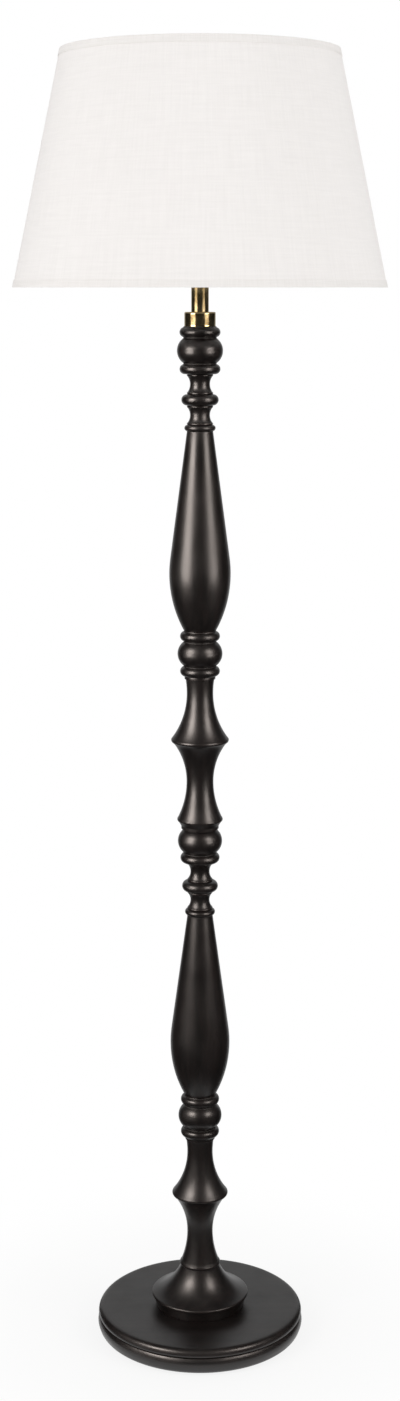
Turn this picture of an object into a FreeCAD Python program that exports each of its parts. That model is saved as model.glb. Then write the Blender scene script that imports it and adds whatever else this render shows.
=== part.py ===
# Candlestick floor lamp: a round moulded base, a column of turned sections on a threaded pipe,
# a brass collar and neck, and a tapered drum shade that hangs on a harp over the lampholder.
# Millimetres. The origin is the middle of the felt pad's underside, on the floor, and +Z is up.
import FreeCAD, Part
import math
import os
from types import SimpleNamespace
import Sketcher

doc = FreeCAD.newDocument("CandlestickFloorLamp")
sheet = doc.addObject("Spreadsheet::Sheet", "Sizes")

# ---------------------------------------------------------------- driving sizes
# One row each: name, size, what it measures. A crest is the radius at the top of a rounded
# moulding, a root the radius where it starts and ends, a waist the slimmest place of a spindle.
SIZES = [
    ("felt_thickness", 2.0, "felt pad"),
    ("felt_set_in", 7.0, "felt pad inside the flat rim that the base stands on"),
    ("base_foot_set_in", 8.3, "that flat rim inside the base's corner"),
    ("base_corner_height", 8.0, "rounded lower corner of the base's edge"),
    ("base_corner_round", 9.5, "radius of that corner"),
    ("base_corner_set_in", 0.5, "inside the crest, where the corner runs into the band"),
    ("base_band_height", 14.2, "swelling band over the corner"),
    ("base_band_round", 12.0, "radius of the band's swell"),
    ("base_band_set_in", 3.0, "inside the crest, where the band ends"),
    ("base_groove_set_in", 4.6, "inside the crest, groove between the band and the upper round"),
    ("base_groove_height", 1.5, "that groove"),
    ("base_crest_rise", 2.2, "from the groove to the fullest place above it"),
    ("base_crest_round", 3.2, "radius of the curve up to it"),
    ("base_crest", 135.8, "radius there, the base's fullest"),
    ("base_shoulder", 8.4, "rounded shoulder between there and the flat top"),
    ("base_rim_width", 26.0, "flat rim round the recess for the ballast"),
    ("base_recess_depth", 16.0, "recess for the ballast"),
    ("ballast_gap", 1.0, "round the ballast in its recess"),
    ("ballast_thickness", 12.0, "cast-iron ballast"),
    ("ballast_bore", 22.0, "radius of the hole round the nut"),
    ("ballast_slot_width", 9.0, "way for the cord in the ballast"),
    ("screw_circle", 68.0, "radius on which the ballast screws stand"),
    ("screw_shank", 2.2, "radius"),
    ("screw_head", 4.4, "radius"),
    ("screw_head_height", 2.4, "screw"),
    ("screw_grip", 9.0, "length of thread in the wood"),
    ("screw_gap", 0.4, "radial gap of the screws in the ballast"),
    ("outlet_height", 11.0, "middle of the cord outlet above the base's underside"),
    ("bush_outer", 5.2, "radius of the outlet bush"),
    ("bush_bore", 3.5, "radius of the way through it"),
    ("bush_flange", 8.0, "radius"),
    ("bush_flange_thickness", 1.8, "outlet bush"),
    ("bush_set_back", 2.0, "outlet bush's inner end, short of the ballast's recess"),
    ("bush_seat_set_in", 1.6, "seat of its flange, inside the base's crest"),
    ("part_gap", 0.15, "radial gap where one fixed piece sits in another"),
    ("pipe_radius", 5.0, "threaded pipe through the column"),
    ("pipe_bore", 3.4, "radius of the way for the wires"),
    ("pipe_below", 9.0, "pipe standing out under the base's wood"),
    ("wood_bore_gap", 0.5, "radial gap round the pipe in the wood"),
    ("nut_radius", 9.2, "hexagon nut, over its corners"),
    ("nut_height", 6.0, "hexagon nut"),
    ("washer_radius", 15.0, "washer under the nut"),
    ("washer_thickness", 1.6, "washer"),
    ("tenon_radius", 9.0, "round tenons of the turned sections"),
    ("tenon_length", 12.0, "round tenons"),
    ("tenon_slack", 1.0, "room past the end of a tenon"),
    ("foot_tenon_radius", 16.0, "tenon of the foot in the base"),
    ("foot_tenon_length", 9.0, "tenon of the foot in the base"),
    ("foot_seat_radius", 58.0, "foot where it stands on the base"),
    ("bell_lip_root", 62.0, "radius"),
    ("bell_lip_height", 14.0, "underside of the bell's lip above the base"),
    ("bell_lip_thickness", 4.5, "bell's lip"),
    ("bell_lip_crest", 64.4, "bell's lip"),
    ("bell_round", 66.0, "hollow curve of the bell"),
    ("bell_height", 38.0, "bell from lip to collar bead"),
    ("bell_top_radius", 25.2, "bell where the collar bead starts"),
    ("bell_bead_height", 5.0, "collar bead over the bell"),
    ("bell_bead_crest", 26.9, "collar bead"),
    ("foot_flare_height", 42.5, "from the collar bead to the lower waist"),
    ("foot_waist", 16.9, "radius"),
    ("trumpet_rise", 48.5, "from a waist to the underside of a trumpet's lip"),
    ("trumpet_under", 32.2, "radius under a trumpet's lip"),
    ("trumpet_bevel", 2.7, "height of the bevel under the lip"),
    ("trumpet_lip_root", 34.6, "radius"),
    ("trumpet_lip_thickness", 5.5, "trumpet's lip"),
    ("trumpet_lip_top", 35.5, "radius where the lip runs into the flare"),
    ("trumpet_nose", 3.1, "radius of the rounded edge"),
    ("foot_trumpet_flare", 55.0, "from the foot's upper lip to the waist above"),
    ("middle_trumpet_flare", 58.0, "the same on the middle spindle"),
    ("trumpet_waist", 16.7, "radius"),
    ("spindle_neck_rise", 18.5, "from the upper waist to the fillet"),
    ("spindle_neck_radius", 18.2, "spindle under the fillet"),
    ("fillet_radius", 19.6, "plain fillet under a ring"),
    ("fillet_height", 4.0, "plain fillet"),
    ("ring_height", 12.0, "rings above and below the beads"),
    ("ring_crest", 25.2, "rings"),
    ("bead_height", 30.6, "large beads"),
    ("bead_crest", 28.4, "large beads"),
    ("group_root", 20.4, "radius in the quirks between rings and beads"),
    ("quirk_height", 1.1, "flat between a ring and a bead"),
    ("lower_vase_length", 245.5, "lower vase without its cap ring"),
    ("upper_vase_length", 250.3, "upper vase without its cap ring"),
    ("vase_foot_radius", 20.2, "radius at the bottom of a vase"),
    ("vase_crest", 38.6, "fullest radius of a vase"),
    ("vase_round", 150.0, "radius of the vase's full curve"),
    ("vase_neck_radius", 16.2, "radius at the top of a vase's taper"),
    ("cap_ring_height", 7.5, "small ring on a vase"),
    ("cap_ring_crest", 19.4, "small ring on a vase"),
    ("astragal_height", 3.0, "fine beads of a knop section"),
    ("astragal_crest", 16.3, "fine beads"),
    ("astragal_root", 15.2, "radius"),
    ("upper_cove_height", 18.9, "hollow neck above a knop"),
    ("lower_cove_height", 18.1, "hollow neck below a knop"),
    ("cove_radius", 12.2, "radius at the slimmest place of a neck"),
    ("knop_height", 13.5, "knop"),
    ("knop_crest", 23.1, "knop"),
    ("knop_root", 16.8, "radius"),
    ("spindle_foot_radius", 24.0, "fillet under the middle spindle"),
    ("spindle_foot_height", 4.0, "that fillet"),
    ("small_lip_rise", 5.5, "from that fillet to the lower lip"),
    ("small_lip_root", 27.4, "radius"),
    ("small_lip_thickness", 5.0, "lower lip of the middle spindle"),
    ("small_lip_top", 28.2, "radius where that lip runs into the flare"),
    ("small_lip_nose", 3.0, "radius of its rounded edge"),
    ("small_flare", 47.5, "from that lip up to the waist"),
    ("middle_waist", 17.1, "radius"),
    ("collar_radius", 19.3, "brass collar on the capital"),
    ("collar_height", 17.4, "brass collar"),
    ("collar_edge", 1.5, "rounding of its edges"),
    ("collar_seat", 6.0, "depth to which the neck stands in the collar"),
    ("neck_radius", 10.75, "brass neck"),
    ("neck_wall", 1.0, "brass neck"),
    ("neck_length", 36.3, "brass neck above the collar"),
    ("neck_cap_radius", 12.0, "brass cap on the neck"),
    ("neck_cap_height", 3.5, "flange of that cap"),
    ("neck_cap_spigot", 5.0, "part of it that stands in the neck"),
    ("strip_thickness", 1.6, "strip steel of the harp's saddle"),
    ("strip_width", 13.0, "strip steel of the harp's saddle"),
    ("saddle_reach", 27.0, "distance of the saddle's pegs from the axis"),
    ("saddle_rise", 8.0, "height of the saddle's ears"),
    ("saddle_bend", 3.0, "inner radius of its bends"),
    ("ear_radius", 3.9, "round head of each ear"),
    ("ear_height", 3.0, "round head of each ear"),
    ("peg_height", 8.0, "peg on each ear"),
    ("lock_nut_radius", 9.0, "round lock nut on the saddle"),
    ("lock_nut_height", 3.4, "round lock nut"),
    ("harp_wire", 2.25, "radius of the harp's wire"),
    ("harp_height", 254.0, "from the saddle's strip to the harp's seat"),
    ("harp_width", 57.0, "radius of the harp's bow"),
    ("harp_leg", 28.0, "straight foot of each leg"),
    ("harp_bend", 70.0, "bend above each foot"),
    ("harp_hub", 6.0, "radius of the harp's seat"),
    ("harp_hub_above", 5.0, "seat above the middle of the wire"),
    ("harp_hub_below", 3.4, "seat below the middle of the wire"),
    ("post_radius", 3.1, "threaded post on the harp"),
    ("post_height", 12.5, "threaded post"),
    ("sleeve_gap", 0.1, "radial gap of the sleeves on the wire"),
    ("sleeve_wall", 0.9, "sleeves"),
    ("sleeve_length", 18.0, "sleeves"),
    ("finial_base", 6.6, "radius of the finial's foot"),
    ("finial_base_height", 2.2, "finial's foot"),
    ("finial_waist", 4.3, "radius"),
    ("finial_waist_height", 4.4, "from the finial's foot to its ball"),
    ("finial_ball", 7.8, "radius"),
    ("finial_bore_depth", 12.0, "threaded hole"),
    ("thread_gap", 0.08, "radial gap of threaded and turning fits"),
    ("shade_bottom", 228.6, "outer radius of the shade's lower rim"),
    ("shade_top", 168.0, "outer radius of the shade's upper rim"),
    ("shade_height", 280.0, "shade"),
    ("shade_wall", 1.3, "linen on its stiff lining"),
    ("trim_height", 9.0, "hem tapes"),
    ("trim_wall", 0.6, "hem tapes"),
    ("frame_wire", 1.7, "radius of the shade's wires"),
    ("frame_inset", 2.6, "wire rings from the rims"),
    ("skin_gap", 0.1, "between the shade's layers"),
    ("spider_drop", 14.0, "spider washer's underside below the upper rim"),
    ("spider_washer", 13.0, "radius"),
    ("spider_washer_thickness", 1.8, "spider washer"),
    ("spider_flat", 30.0, "where the arms start to rise"),
    ("spider_bend", 40.0, "bend of the arms"),
    ("spider_hole_gap", 0.3, "radial gap round the post"),
    ("cap_hub", 8.0, "radius of the lampholder cap's hub"),
    ("cap_hub_height", 8.5, "lampholder cap's hub"),
    ("cap_neck_radius", 10.4, "where the dome starts"),
    ("cap_neck_height", 2.0, "from hub to dome"),
    ("cap_dome_height", 9.0, "dome of the lampholder cap"),
    ("cap_dome_round", 10.5, "dome of the lampholder cap"),
    ("cap_radius", 17.4, "skirt of the lampholder cap"),
    ("cap_skirt_height", 6.0, "skirt of the lampholder cap"),
    ("shell_wall", 0.8, "lampholder shell and cap"),
    ("shell_height", 43.0, "lampholder shell"),
    ("liner_wall", 0.8, "insulating liner"),
    ("liner_stand", 1.6, "liner above the shell's rim"),
    ("holder_body_height", 19.0, "moulded body inside the shell"),
    ("screw_shell_wall", 0.45, "threaded inner shell"),
    ("screw_shell_height", 23.0, "threaded inner shell"),
    ("contact_radius", 3.2, "centre contact"),
    ("contact_height", 3.0, "centre contact"),
    ("set_screw_radius", 1.5, "set screw in the cap's hub"),
    ("set_screw_head", 2.4, "radius of its head"),
    ("key_shaft", 2.2, "radius of the switch key's shaft"),
    ("key_height", 10.0, "key's axis above the bottom of the moulded body"),
    ("key_depth", 9.0, "where the shaft ends inside, from the lamp's axis"),
    ("key_gap", 1.4, "knob clear of the cap's skirt"),
    ("key_knob_radius", 6.5, "switch knob"),
    ("key_knob_length", 11.0, "switch knob"),
    ("key_flute", 1.1, "radius of the knob's flutes"),
    ("bulb_cap_radius", 13.1, "screw cap of the bulb"),
    ("bulb_cap_height", 20.0, "screw cap of the bulb"),
    ("bulb_cap_wall", 0.5, "screw cap of the bulb"),
    ("bulb_thread_gap", 0.1, "radial gap of the bulb in the threaded shell"),
    ("bulb_tip_radius", 4.6, "contact disc of the bulb"),
    ("bulb_tip_height", 1.4, "contact disc of the bulb"),
    ("bulb_glass_neck", 4.5, "glass standing in the cap"),
    ("bulb_shoulder_radius", 23.0, "where neck and globe meet"),
    ("bulb_globe", 30.0, "radius of the globe"),
    ("bulb_neck_radius", 13.2, "glass above the cap"),
]


class Size:
    """A length that carries its number and the expression that gives it from the sheet."""

    def __init__(self, number, text):
        self.number = float(number)
        self.text = text

    def __add__(self, other):
        other = as_size(other)
        return Size(self.number + other.number, f"({self.text} + {other.text})")

    def __sub__(self, other):
        other = as_size(other)
        return Size(self.number - other.number, f"({self.text} - {other.text})")

    def __mul__(self, other):
        other = as_size(other)
        return Size(self.number * other.number, f"({self.text} * {other.text})")

    def __truediv__(self, other):
        other = as_size(other)
        return Size(self.number / other.number, f"({self.text} / {other.text})")

    def __neg__(self):
        return Size(-self.number, f"(0 - {self.text})")


def as_size(value):
    """A plain number as a Size, so that halves and doubles can be written."""
    if isinstance(value, Size):
        return value
    return Size(value, repr(value))


def root(value):
    """The square root of a Size."""
    return Size(math.sqrt(value.number), f"sqrt({value.text})")


def bow(length, depth):
    """Radius of the arc over a chord of that length that stands that deep at its middle."""
    return (length * length / 4 + depth * depth) / (depth * 2)


def flare(length, spread):
    """Radius of the arc that starts parallel to the axis and spreads that far in that length."""
    return (length * length + spread * spread) / (spread * 2)


for row, (name, value, meaning) in enumerate(SIZES, start=1):
    sheet.set(f"A{row}", meaning)
    sheet.set(f"B{row}", str(value))
    sheet.setAlias(f"B{row}", name)
doc.recompute()
s = SimpleNamespace(**{name: Size(value, "Sizes." + name) for name, value, _ in SIZES})
ZERO = Size(0, "0")

# ---------------------------------------------------------------- helpers
parts = {}
X_AXIS = FreeCAD.Vector(1, 0, 0)
UPRIGHT = FreeCAD.Rotation()
TO_BACK = FreeCAD.Rotation(X_AXIS, -90)
TO_FRONT = FreeCAD.Rotation(X_AXIS, 90)
QUARTER_TURN = FreeCAD.Rotation(FreeCAD.Vector(0, 0, 1), 90)


def keep(label, obj):
    """Remember the object as a sub-part under the name of its file."""
    obj.Label = label
    parts[label] = obj
    return obj


def place(obj, x=ZERO, y=ZERO, z=ZERO, turn=UPRIGHT):
    """Put an object at a place whose three coordinates stay bound to the sheet."""
    obj.Placement = FreeCAD.Placement(FreeCAD.Vector(x.number, y.number, z.number), turn)
    for axis, value in (("x", x), ("y", y), ("z", z)):
        if value is not ZERO:
            obj.setExpression(f".Placement.Base.{axis}", value.text)
    return obj


def new_body(label):
    """An empty body that carries its sub-part's name."""
    return keep(label, doc.addObject("PartDesign::Body", label))


def sketch_on(body, name, role):
    """A sketch on one of the body's own origin planes."""
    sketch = body.newObject("Sketcher::SketchObject", name)
    plane = [item for item in body.Origin.OriginFeatures if item.Role == role][0]
    sketch.AttachmentSupport = (plane, "")
    sketch.MapMode = "FlatFace"
    return sketch


def bind(sketch, kind, arguments, value, title):
    """Add a dimension to a sketch and tie it to the sheet."""
    index = sketch.addConstraint(Sketcher.Constraint(kind, *arguments, value.number))
    sketch.renameConstraint(index, title)
    sketch.setExpression(f"Constraints.{title}", value.text)


def pin_point(sketch, geometry, point, across, up, title):
    """Fix one point of a sketch at its distances from the two axes."""
    if across is ZERO:
        sketch.addConstraint(Sketcher.Constraint("PointOnObject", geometry, point, -2))
    else:
        bind(sketch, "DistanceX", (-1, 1, geometry, point), across, title + "_across")
    if up is ZERO:
        sketch.addConstraint(Sketcher.Constraint("PointOnObject", geometry, point, -1))
    else:
        bind(sketch, "DistanceY", (-1, 1, geometry, point), up, title + "_up")


def arc_between(start, end, radius, hollow):
    """The arc from start to end with its centre on the left, or on the right if hollow.

    Returned with the numbers of its points that lie at start and at end."""
    chord = end - start
    normal = FreeCAD.Vector(-chord.y, chord.x, 0)
    normal.normalize()
    reach = math.sqrt(max(radius**2 - (chord.Length / 2) ** 2, 0.0))
    side = -1 if hollow else 1
    centre = (start + end) * 0.5 + normal * (reach * side)
    first, last = (end, start) if hollow else (start, end)
    first_angle = math.atan2(first.y - centre.y, first.x - centre.x)
    last_angle = math.atan2(last.y - centre.y, last.x - centre.x)
    circle = Part.Circle(centre, FreeCAD.Vector(0, 0, 1), radius)
    arc = Part.ArcOfCircle(circle, first_angle, last_angle)
    return arc, (2, 1) if hollow else (1, 2)


def swell(start, end, radius, crest):
    """Where the arc of a swelling form meets its taper, and the middle of the arc.

    The arc leaves start, is fullest at crest, and runs tangent into a line that ends at end."""
    middle_x = crest - radius
    middle_y = start.y + math.sqrt(radius**2 - (start.x - middle_x) ** 2)
    away = end - FreeCAD.Vector(middle_x, middle_y, 0)
    angle = math.atan2(away.y, away.x) - math.acos(radius / away.Length)
    touch = FreeCAD.Vector(
        middle_x + radius * math.cos(angle), middle_y + radius * math.sin(angle), 0)
    return touch


def draw_outline(sketch, outline):
    """Draw a closed outline with its material on the left.

    The first entry is a point (radius, height). The others say how to go on: line, round (an arc
    that bows out of the material) or hollow (one that bows into it) with the arc's radius after
    the point, and swell with the arc's radius and its crest. Each corner is tied to the sheet."""
    corners = [entry[-2:] if len(entry) == 2 else entry[1:3] for entry in outline]
    points = [FreeCAD.Vector(across.number, up.number, 0) for across, up in corners]
    count = len(outline)
    begins = []
    ends = []
    for index in range(count):
        target = (index + 1) % count
        step = outline[target] if target else ("line",)
        start, end = points[index], points[target]
        if step[0] == "line":
            piece = sketch.addGeometry(Part.LineSegment(start, end))
            begins.append((piece, 1))
            ends.append((piece, 2))
        elif step[0] == "swell":
            touch = swell(start, end, step[3].number, step[4].number)
            arc, (first, last) = arc_between(start, touch, step[3].number, False)
            piece = sketch.addGeometry(arc)
            taper = sketch.addGeometry(Part.LineSegment(touch, end))
            sketch.addConstraint(Sketcher.Constraint("Tangent", piece, last, taper, 1))
            bind(sketch, "Radius", (piece,), step[3], f"p{index}_radius")
            bind(sketch, "DistanceX", (-1, 1, piece, 3), step[4] - step[3], f"p{index}_middle")
            begins.append((piece, first))
            ends.append((taper, 2))
        else:
            arc, (first, last) = arc_between(start, end, step[3].number, step[0] == "hollow")
            piece = sketch.addGeometry(arc)
            bind(sketch, "Radius", (piece,), step[3], f"p{index}_radius")
            begins.append((piece, first))
            ends.append((piece, last))
    for index in range(count):
        target = (index + 1) % count
        sketch.addConstraint(Sketcher.Constraint("Coincident", *ends[index], *begins[target]))
        pin_point(sketch, *begins[index], *corners[index], f"p{index}")


def revolve(body, name, outline):
    """Turn an outline of the body round its upright axis."""
    sketch = sketch_on(body, name + "_outline", "XZ_Plane")
    draw_outline(sketch, outline)
    feature = body.newObject("PartDesign::Revolution", name)
    feature.Profile = sketch
    feature.ReferenceAxis = (sketch, ["V_Axis"])
    feature.Angle = 360
    body.Tip = feature
    return feature


def turned(label, outline, z=ZERO):
    """A sub-part that is one turned form standing on the lamp's axis."""
    body = new_body(label)
    revolve(body, label + "_turning", outline)
    return place(body, z=z)


def sized(obj, **sizes):
    """Tie properties of an object to the sheet."""
    for name, value in sizes.items():
        setattr(obj, name, value.number)
        obj.setExpression(name, value.text)
    return obj


def drill(body, name, radius, length, x=ZERO, y=ZERO, z=ZERO, turn=UPRIGHT, add=False):
    """A round hole in a body, or a round pin on it, along the Z axis or the way it is turned."""
    kind = "PartDesign::AdditiveCylinder" if add else "PartDesign::SubtractiveCylinder"
    feature = body.newObject(kind, name)
    sized(feature, Radius=radius, Height=length)
    place(feature, x, y, z, turn)
    body.Tip = feature
    return feature


def around(body, name, feature, count):
    """Repeat a feature of a body at equal angles round its upright axis."""
    axis = [item for item in body.Origin.OriginFeatures if item.Role == "Z_Axis"][0]
    pattern = body.newObject("PartDesign::PolarPattern", name)
    pattern.Originals = [feature]
    pattern.Axis = (axis, [""])
    pattern.Angle = 360
    pattern.Occurrences = count
    body.Tip = pattern
    return pattern


# ---------------------------------------------------------------- base
groove_foot = s.base_corner_height + s.base_band_height
groove_top = groove_foot + s.base_groove_height
crest_height = groove_top + s.base_crest_rise
base_height = crest_height + s.base_shoulder
base_top_radius = s.base_crest - s.base_shoulder
base_corner_radius = s.base_crest - s.base_corner_set_in
base_groove_radius = s.base_crest - s.base_groove_set_in
base_foot_radius = base_corner_radius - s.base_foot_set_in
recess_radius = base_foot_radius - s.base_rim_width
base_top = s.felt_thickness + base_height
wood_bore = s.pipe_radius + s.wood_bore_gap
foot_socket = s.foot_tenon_radius + s.part_gap
foot_socket_floor = base_height - s.foot_tenon_length - s.tenon_slack

base = turned("base_plate", [
    (recess_radius, ZERO),
    ("line", base_foot_radius, ZERO),
    ("round", base_corner_radius, s.base_corner_height, s.base_corner_round),
    ("round", s.base_crest - s.base_band_set_in, groove_foot, s.base_band_round),
    ("line", base_groove_radius, groove_foot),
    ("line", base_groove_radius, groove_top),
    ("round", s.base_crest, crest_height, s.base_crest_round),
    ("round", base_top_radius, base_height, s.base_shoulder),
    ("line", foot_socket, base_height),
    ("line", foot_socket, foot_socket_floor),
    ("line", wood_bore, foot_socket_floor),
    ("line", wood_bore, s.base_recess_depth),
    ("line", recess_radius, s.base_recess_depth),
], z=s.felt_thickness)
bush_hole = s.bush_outer + s.part_gap
bush_inner_end = recess_radius + s.bush_set_back
bush_seat = s.base_crest - s.bush_seat_set_in
bush_shank = bush_seat - bush_inner_end
bush_length = bush_shank + s.bush_flange_thickness
drill(base, "outlet_hole", bush_hole, base_foot_radius, y=recess_radius / 2,
      z=s.outlet_height, turn=TO_BACK)
drill(base, "outlet_seat", s.bush_flange + s.part_gap, base_foot_radius, y=bush_seat,
      z=s.outlet_height, turn=TO_BACK)
screw_tip = s.base_recess_depth + s.screw_grip
pilot = drill(base, "pilot_hole", s.screw_shank + s.part_gap, s.screw_grip + s.tenon_slack / 2,
              x=s.screw_circle, z=s.base_recess_depth)
SCREW_COUNT = 3
around(base, "pilot_holes", pilot, SCREW_COUNT)

felt_radius = base_foot_radius - s.felt_set_in
turned("felt_pad", [
    (ZERO, ZERO),
    ("line", felt_radius, ZERO),
    ("line", felt_radius, s.felt_thickness),
    ("line", ZERO, s.felt_thickness),
])

# The outlet bush lies on its side: its flange on the seat cut into the base's edge.
bush = new_body("outlet_bush")
revolve(bush, "bush_turning", [
    (s.bush_bore, ZERO),
    ("line", s.bush_outer, ZERO),
    ("line", s.bush_outer, bush_shank),
    ("line", s.bush_flange, bush_shank),
    ("line", s.bush_flange, bush_length),
    ("line", s.bush_bore, bush_length),
])
place(bush, y=bush_inner_end, z=s.felt_thickness + s.outlet_height, turn=TO_BACK)

ballast_radius = recess_radius - s.ballast_gap
ballast_bottom = s.felt_thickness + s.base_recess_depth - s.ballast_thickness
ballast = turned("ballast_disc", [
    (s.ballast_bore, ZERO),
    ("line", ballast_radius, ZERO),
    ("line", ballast_radius, s.ballast_thickness),
    ("line", s.ballast_bore, s.ballast_thickness),
], z=ballast_bottom)
slot = ballast.newObject("PartDesign::SubtractiveBox", "cord_slot")
sized(slot, Length=s.ballast_slot_width, Width=recess_radius, Height=s.ballast_thickness)
place(slot, x=-s.ballast_slot_width / 2)
ballast.Tip = slot
ballast_hole = drill(ballast, "screw_hole", s.screw_shank + s.screw_gap, s.ballast_thickness,
                     x=s.screw_circle)
around(ballast, "screw_holes", ballast_hole, SCREW_COUNT)

# Ballast screws: pan heads under the iron, shanks up into the wood.
screws = []
for number in range(SCREW_COUNT):
    angle = 360 / SCREW_COUNT * number
    head = sized(doc.addObject("Part::Cylinder", f"screw_head_{number}"),
                 Radius=s.screw_head, Height=s.screw_head_height)
    shank = sized(doc.addObject("Part::Cylinder", f"screw_shank_{number}"),
                  Radius=s.screw_shank,
                  Height=s.screw_head_height + s.ballast_thickness + s.screw_grip)
    screw = doc.addObject("Part::Fuse", f"ballast_screw_{number}")
    screw.Base = head
    screw.Tool = shank
    turn = FreeCAD.Rotation(FreeCAD.Vector(0, 0, 1), angle)
    toward = turn.multVec(X_AXIS)
    place(screw, s.screw_circle * round(toward.x, 9), s.screw_circle * round(toward.y, 9),
          ballast_bottom - s.screw_head_height, turn)
    screws.append(screw)
screw_set = doc.addObject("Part::Compound", "ballast_screws")
screw_set.Links = screws
keep("ballast_screws", screw_set)

# ---------------------------------------------------------------- threaded pipe and its nut
recess_ceiling = s.felt_thickness + s.base_recess_depth
turned("base_washer", [
    (s.pipe_radius + s.part_gap, ZERO),
    ("line", s.washer_radius, ZERO),
    ("line", s.washer_radius, s.washer_thickness),
    ("line", s.pipe_radius + s.part_gap, s.washer_thickness),
], z=recess_ceiling - s.washer_thickness)
nut_blank = sized(doc.addObject("Part::Prism", "nut_blank"),
                  Circumradius=s.nut_radius, Height=s.nut_height)
nut_blank.Polygon = 6
nut_thread = sized(doc.addObject("Part::Cylinder", "nut_thread"),
                   Radius=s.pipe_radius + s.thread_gap, Height=s.nut_height)
nut = doc.addObject("Part::Cut", "base_nut")
nut.Base = nut_blank
nut.Tool = nut_thread
place(nut, z=recess_ceiling - s.washer_thickness - s.nut_height)
keep("base_nut", nut)

# ---------------------------------------------------------------- turned column
# Slim sections end in tenons and full ones in sockets, so every joint hides in a quirk.
socket = s.tenon_radius + s.part_gap
socket_depth = s.tenon_length + s.tenon_slack


def tenon_below(radius=s.tenon_radius, length=s.tenon_length):
    """The start of a section's outline that goes down round its lower tenon."""
    return [(wood_bore, -length), ("line", radius, -length), ("line", radius, ZERO)]


def socket_below():
    """The start of a section's outline at the mouth of its lower socket."""
    return [(socket, ZERO)]


def tenon_above(height):
    """The end of a section's outline, over its upper tenon and down the bore."""
    return [
        ("line", s.tenon_radius, height),
        ("line", s.tenon_radius, height + s.tenon_length),
        ("line", wood_bore, height + s.tenon_length),
    ]


def socket_above(height):
    """The end of a section's outline, in its upper socket."""
    return [
        ("line", socket, height),
        ("line", socket, height - socket_depth),
        ("line", wood_bore, height - socket_depth),
    ]


def bore_and_socket():
    """The last corners of a section that starts with a socket below."""
    return [("line", wood_bore, socket_depth), ("line", socket, socket_depth)]


def ring(height):
    """One ring that starts at that height, and the height where it ends."""
    top = height + s.ring_height
    return ("round", s.group_root, top, bow(s.ring_height, s.ring_crest - s.group_root)), top


def bead(height):
    """One large bead with a quirk below it, and the height where it ends."""
    start = height + s.quirk_height
    top = start + s.bead_height
    steps = [
        ("line", s.group_root, start),
        ("round", s.group_root, top, bow(s.bead_height, s.bead_crest - s.group_root)),
    ]
    return steps, top


def ring_bead_ring():
    """Ring, bead and ring with quirks between them, and their height."""
    first, first_top = ring(ZERO)
    middle, middle_top = bead(first_top)
    quirk_top = middle_top + s.quirk_height
    last, last_top = ring(quirk_top)
    top = last_top + s.quirk_height
    steps = [("line", s.group_root, ZERO), first, *middle, ("line", s.group_root, quirk_top), last,
             ("line", s.group_root, top)]
    return steps, top


def trumpet(height, flare_height):
    """Flaring lip, waist and slim neck up to a ring's fillet, over a waist at that height."""
    under = height + s.trumpet_rise
    lip = under + s.trumpet_bevel
    lip_top = lip + s.trumpet_lip_thickness
    waist = lip_top + flare_height
    neck = waist + s.spindle_neck_rise
    top = neck + s.fillet_height
    steps = [
        ("line", s.trumpet_lip_root, lip),
        ("round", s.trumpet_lip_top, lip_top, s.trumpet_nose),
        ("hollow", s.trumpet_waist, waist,
         flare(flare_height, s.trumpet_lip_top - s.trumpet_waist)),
        ("hollow", s.spindle_neck_radius, neck,
         flare(s.spindle_neck_rise, s.spindle_neck_radius - s.trumpet_waist)),
        ("line", s.fillet_radius, neck),
        ("line", s.fillet_radius, top),
    ]
    return under, steps, top


# Foot: the bell with its lip, the collar bead, and the lower trumpet.
lip_under = s.bell_lip_height
lip_over = lip_under + s.bell_lip_thickness
bell_top = lip_over + s.bell_height
collar_bead_top = bell_top + s.bell_bead_height
foot_waist_height = collar_bead_top + s.foot_flare_height
foot_under, foot_trumpet, foot_length = trumpet(foot_waist_height, s.foot_trumpet_flare)
turned("foot_bell", [
    *tenon_below(s.foot_tenon_radius, s.foot_tenon_length),
    ("line", s.foot_seat_radius, ZERO),
    ("line", s.bell_lip_root, lip_under),
    ("round", s.bell_lip_root, lip_over,
     bow(s.bell_lip_thickness, s.bell_lip_crest - s.bell_lip_root)),
    ("hollow", s.bell_top_radius, bell_top, s.bell_round),
    ("round", s.bell_top_radius, collar_bead_top,
     bow(s.bell_bead_height, s.bell_bead_crest - s.bell_top_radius)),
    ("hollow", s.foot_waist, foot_waist_height,
     flare(s.foot_flare_height, s.bell_top_radius - s.foot_waist)),
    ("hollow", s.trumpet_under, foot_under,
     flare(s.trumpet_rise, s.trumpet_under - s.foot_waist)),
    *foot_trumpet,
    *tenon_above(foot_length),
], z=base_top)
level = base_top + foot_length


def bead_group(label, height):
    """Ring, bead and ring with a socket at each end. Returns the height of its top."""
    steps, length = ring_bead_ring()
    turned(label, [*socket_below(), *steps, *socket_above(length), *bore_and_socket()], z=height)
    return height + length


def vase(label, length, height):
    """Vase with a tapering body and a small cap ring. Returns the height of its top."""
    top = length + s.cap_ring_height
    turned(label, [
        *tenon_below(),
        ("line", s.vase_foot_radius, ZERO),
        ("swell", s.vase_neck_radius, length, s.vase_round, s.vase_crest),
        ("round", s.vase_neck_radius, top,
         bow(s.cap_ring_height, s.cap_ring_crest - s.vase_neck_radius)),
        *socket_above(top),
    ], z=height)
    return height + top


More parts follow.
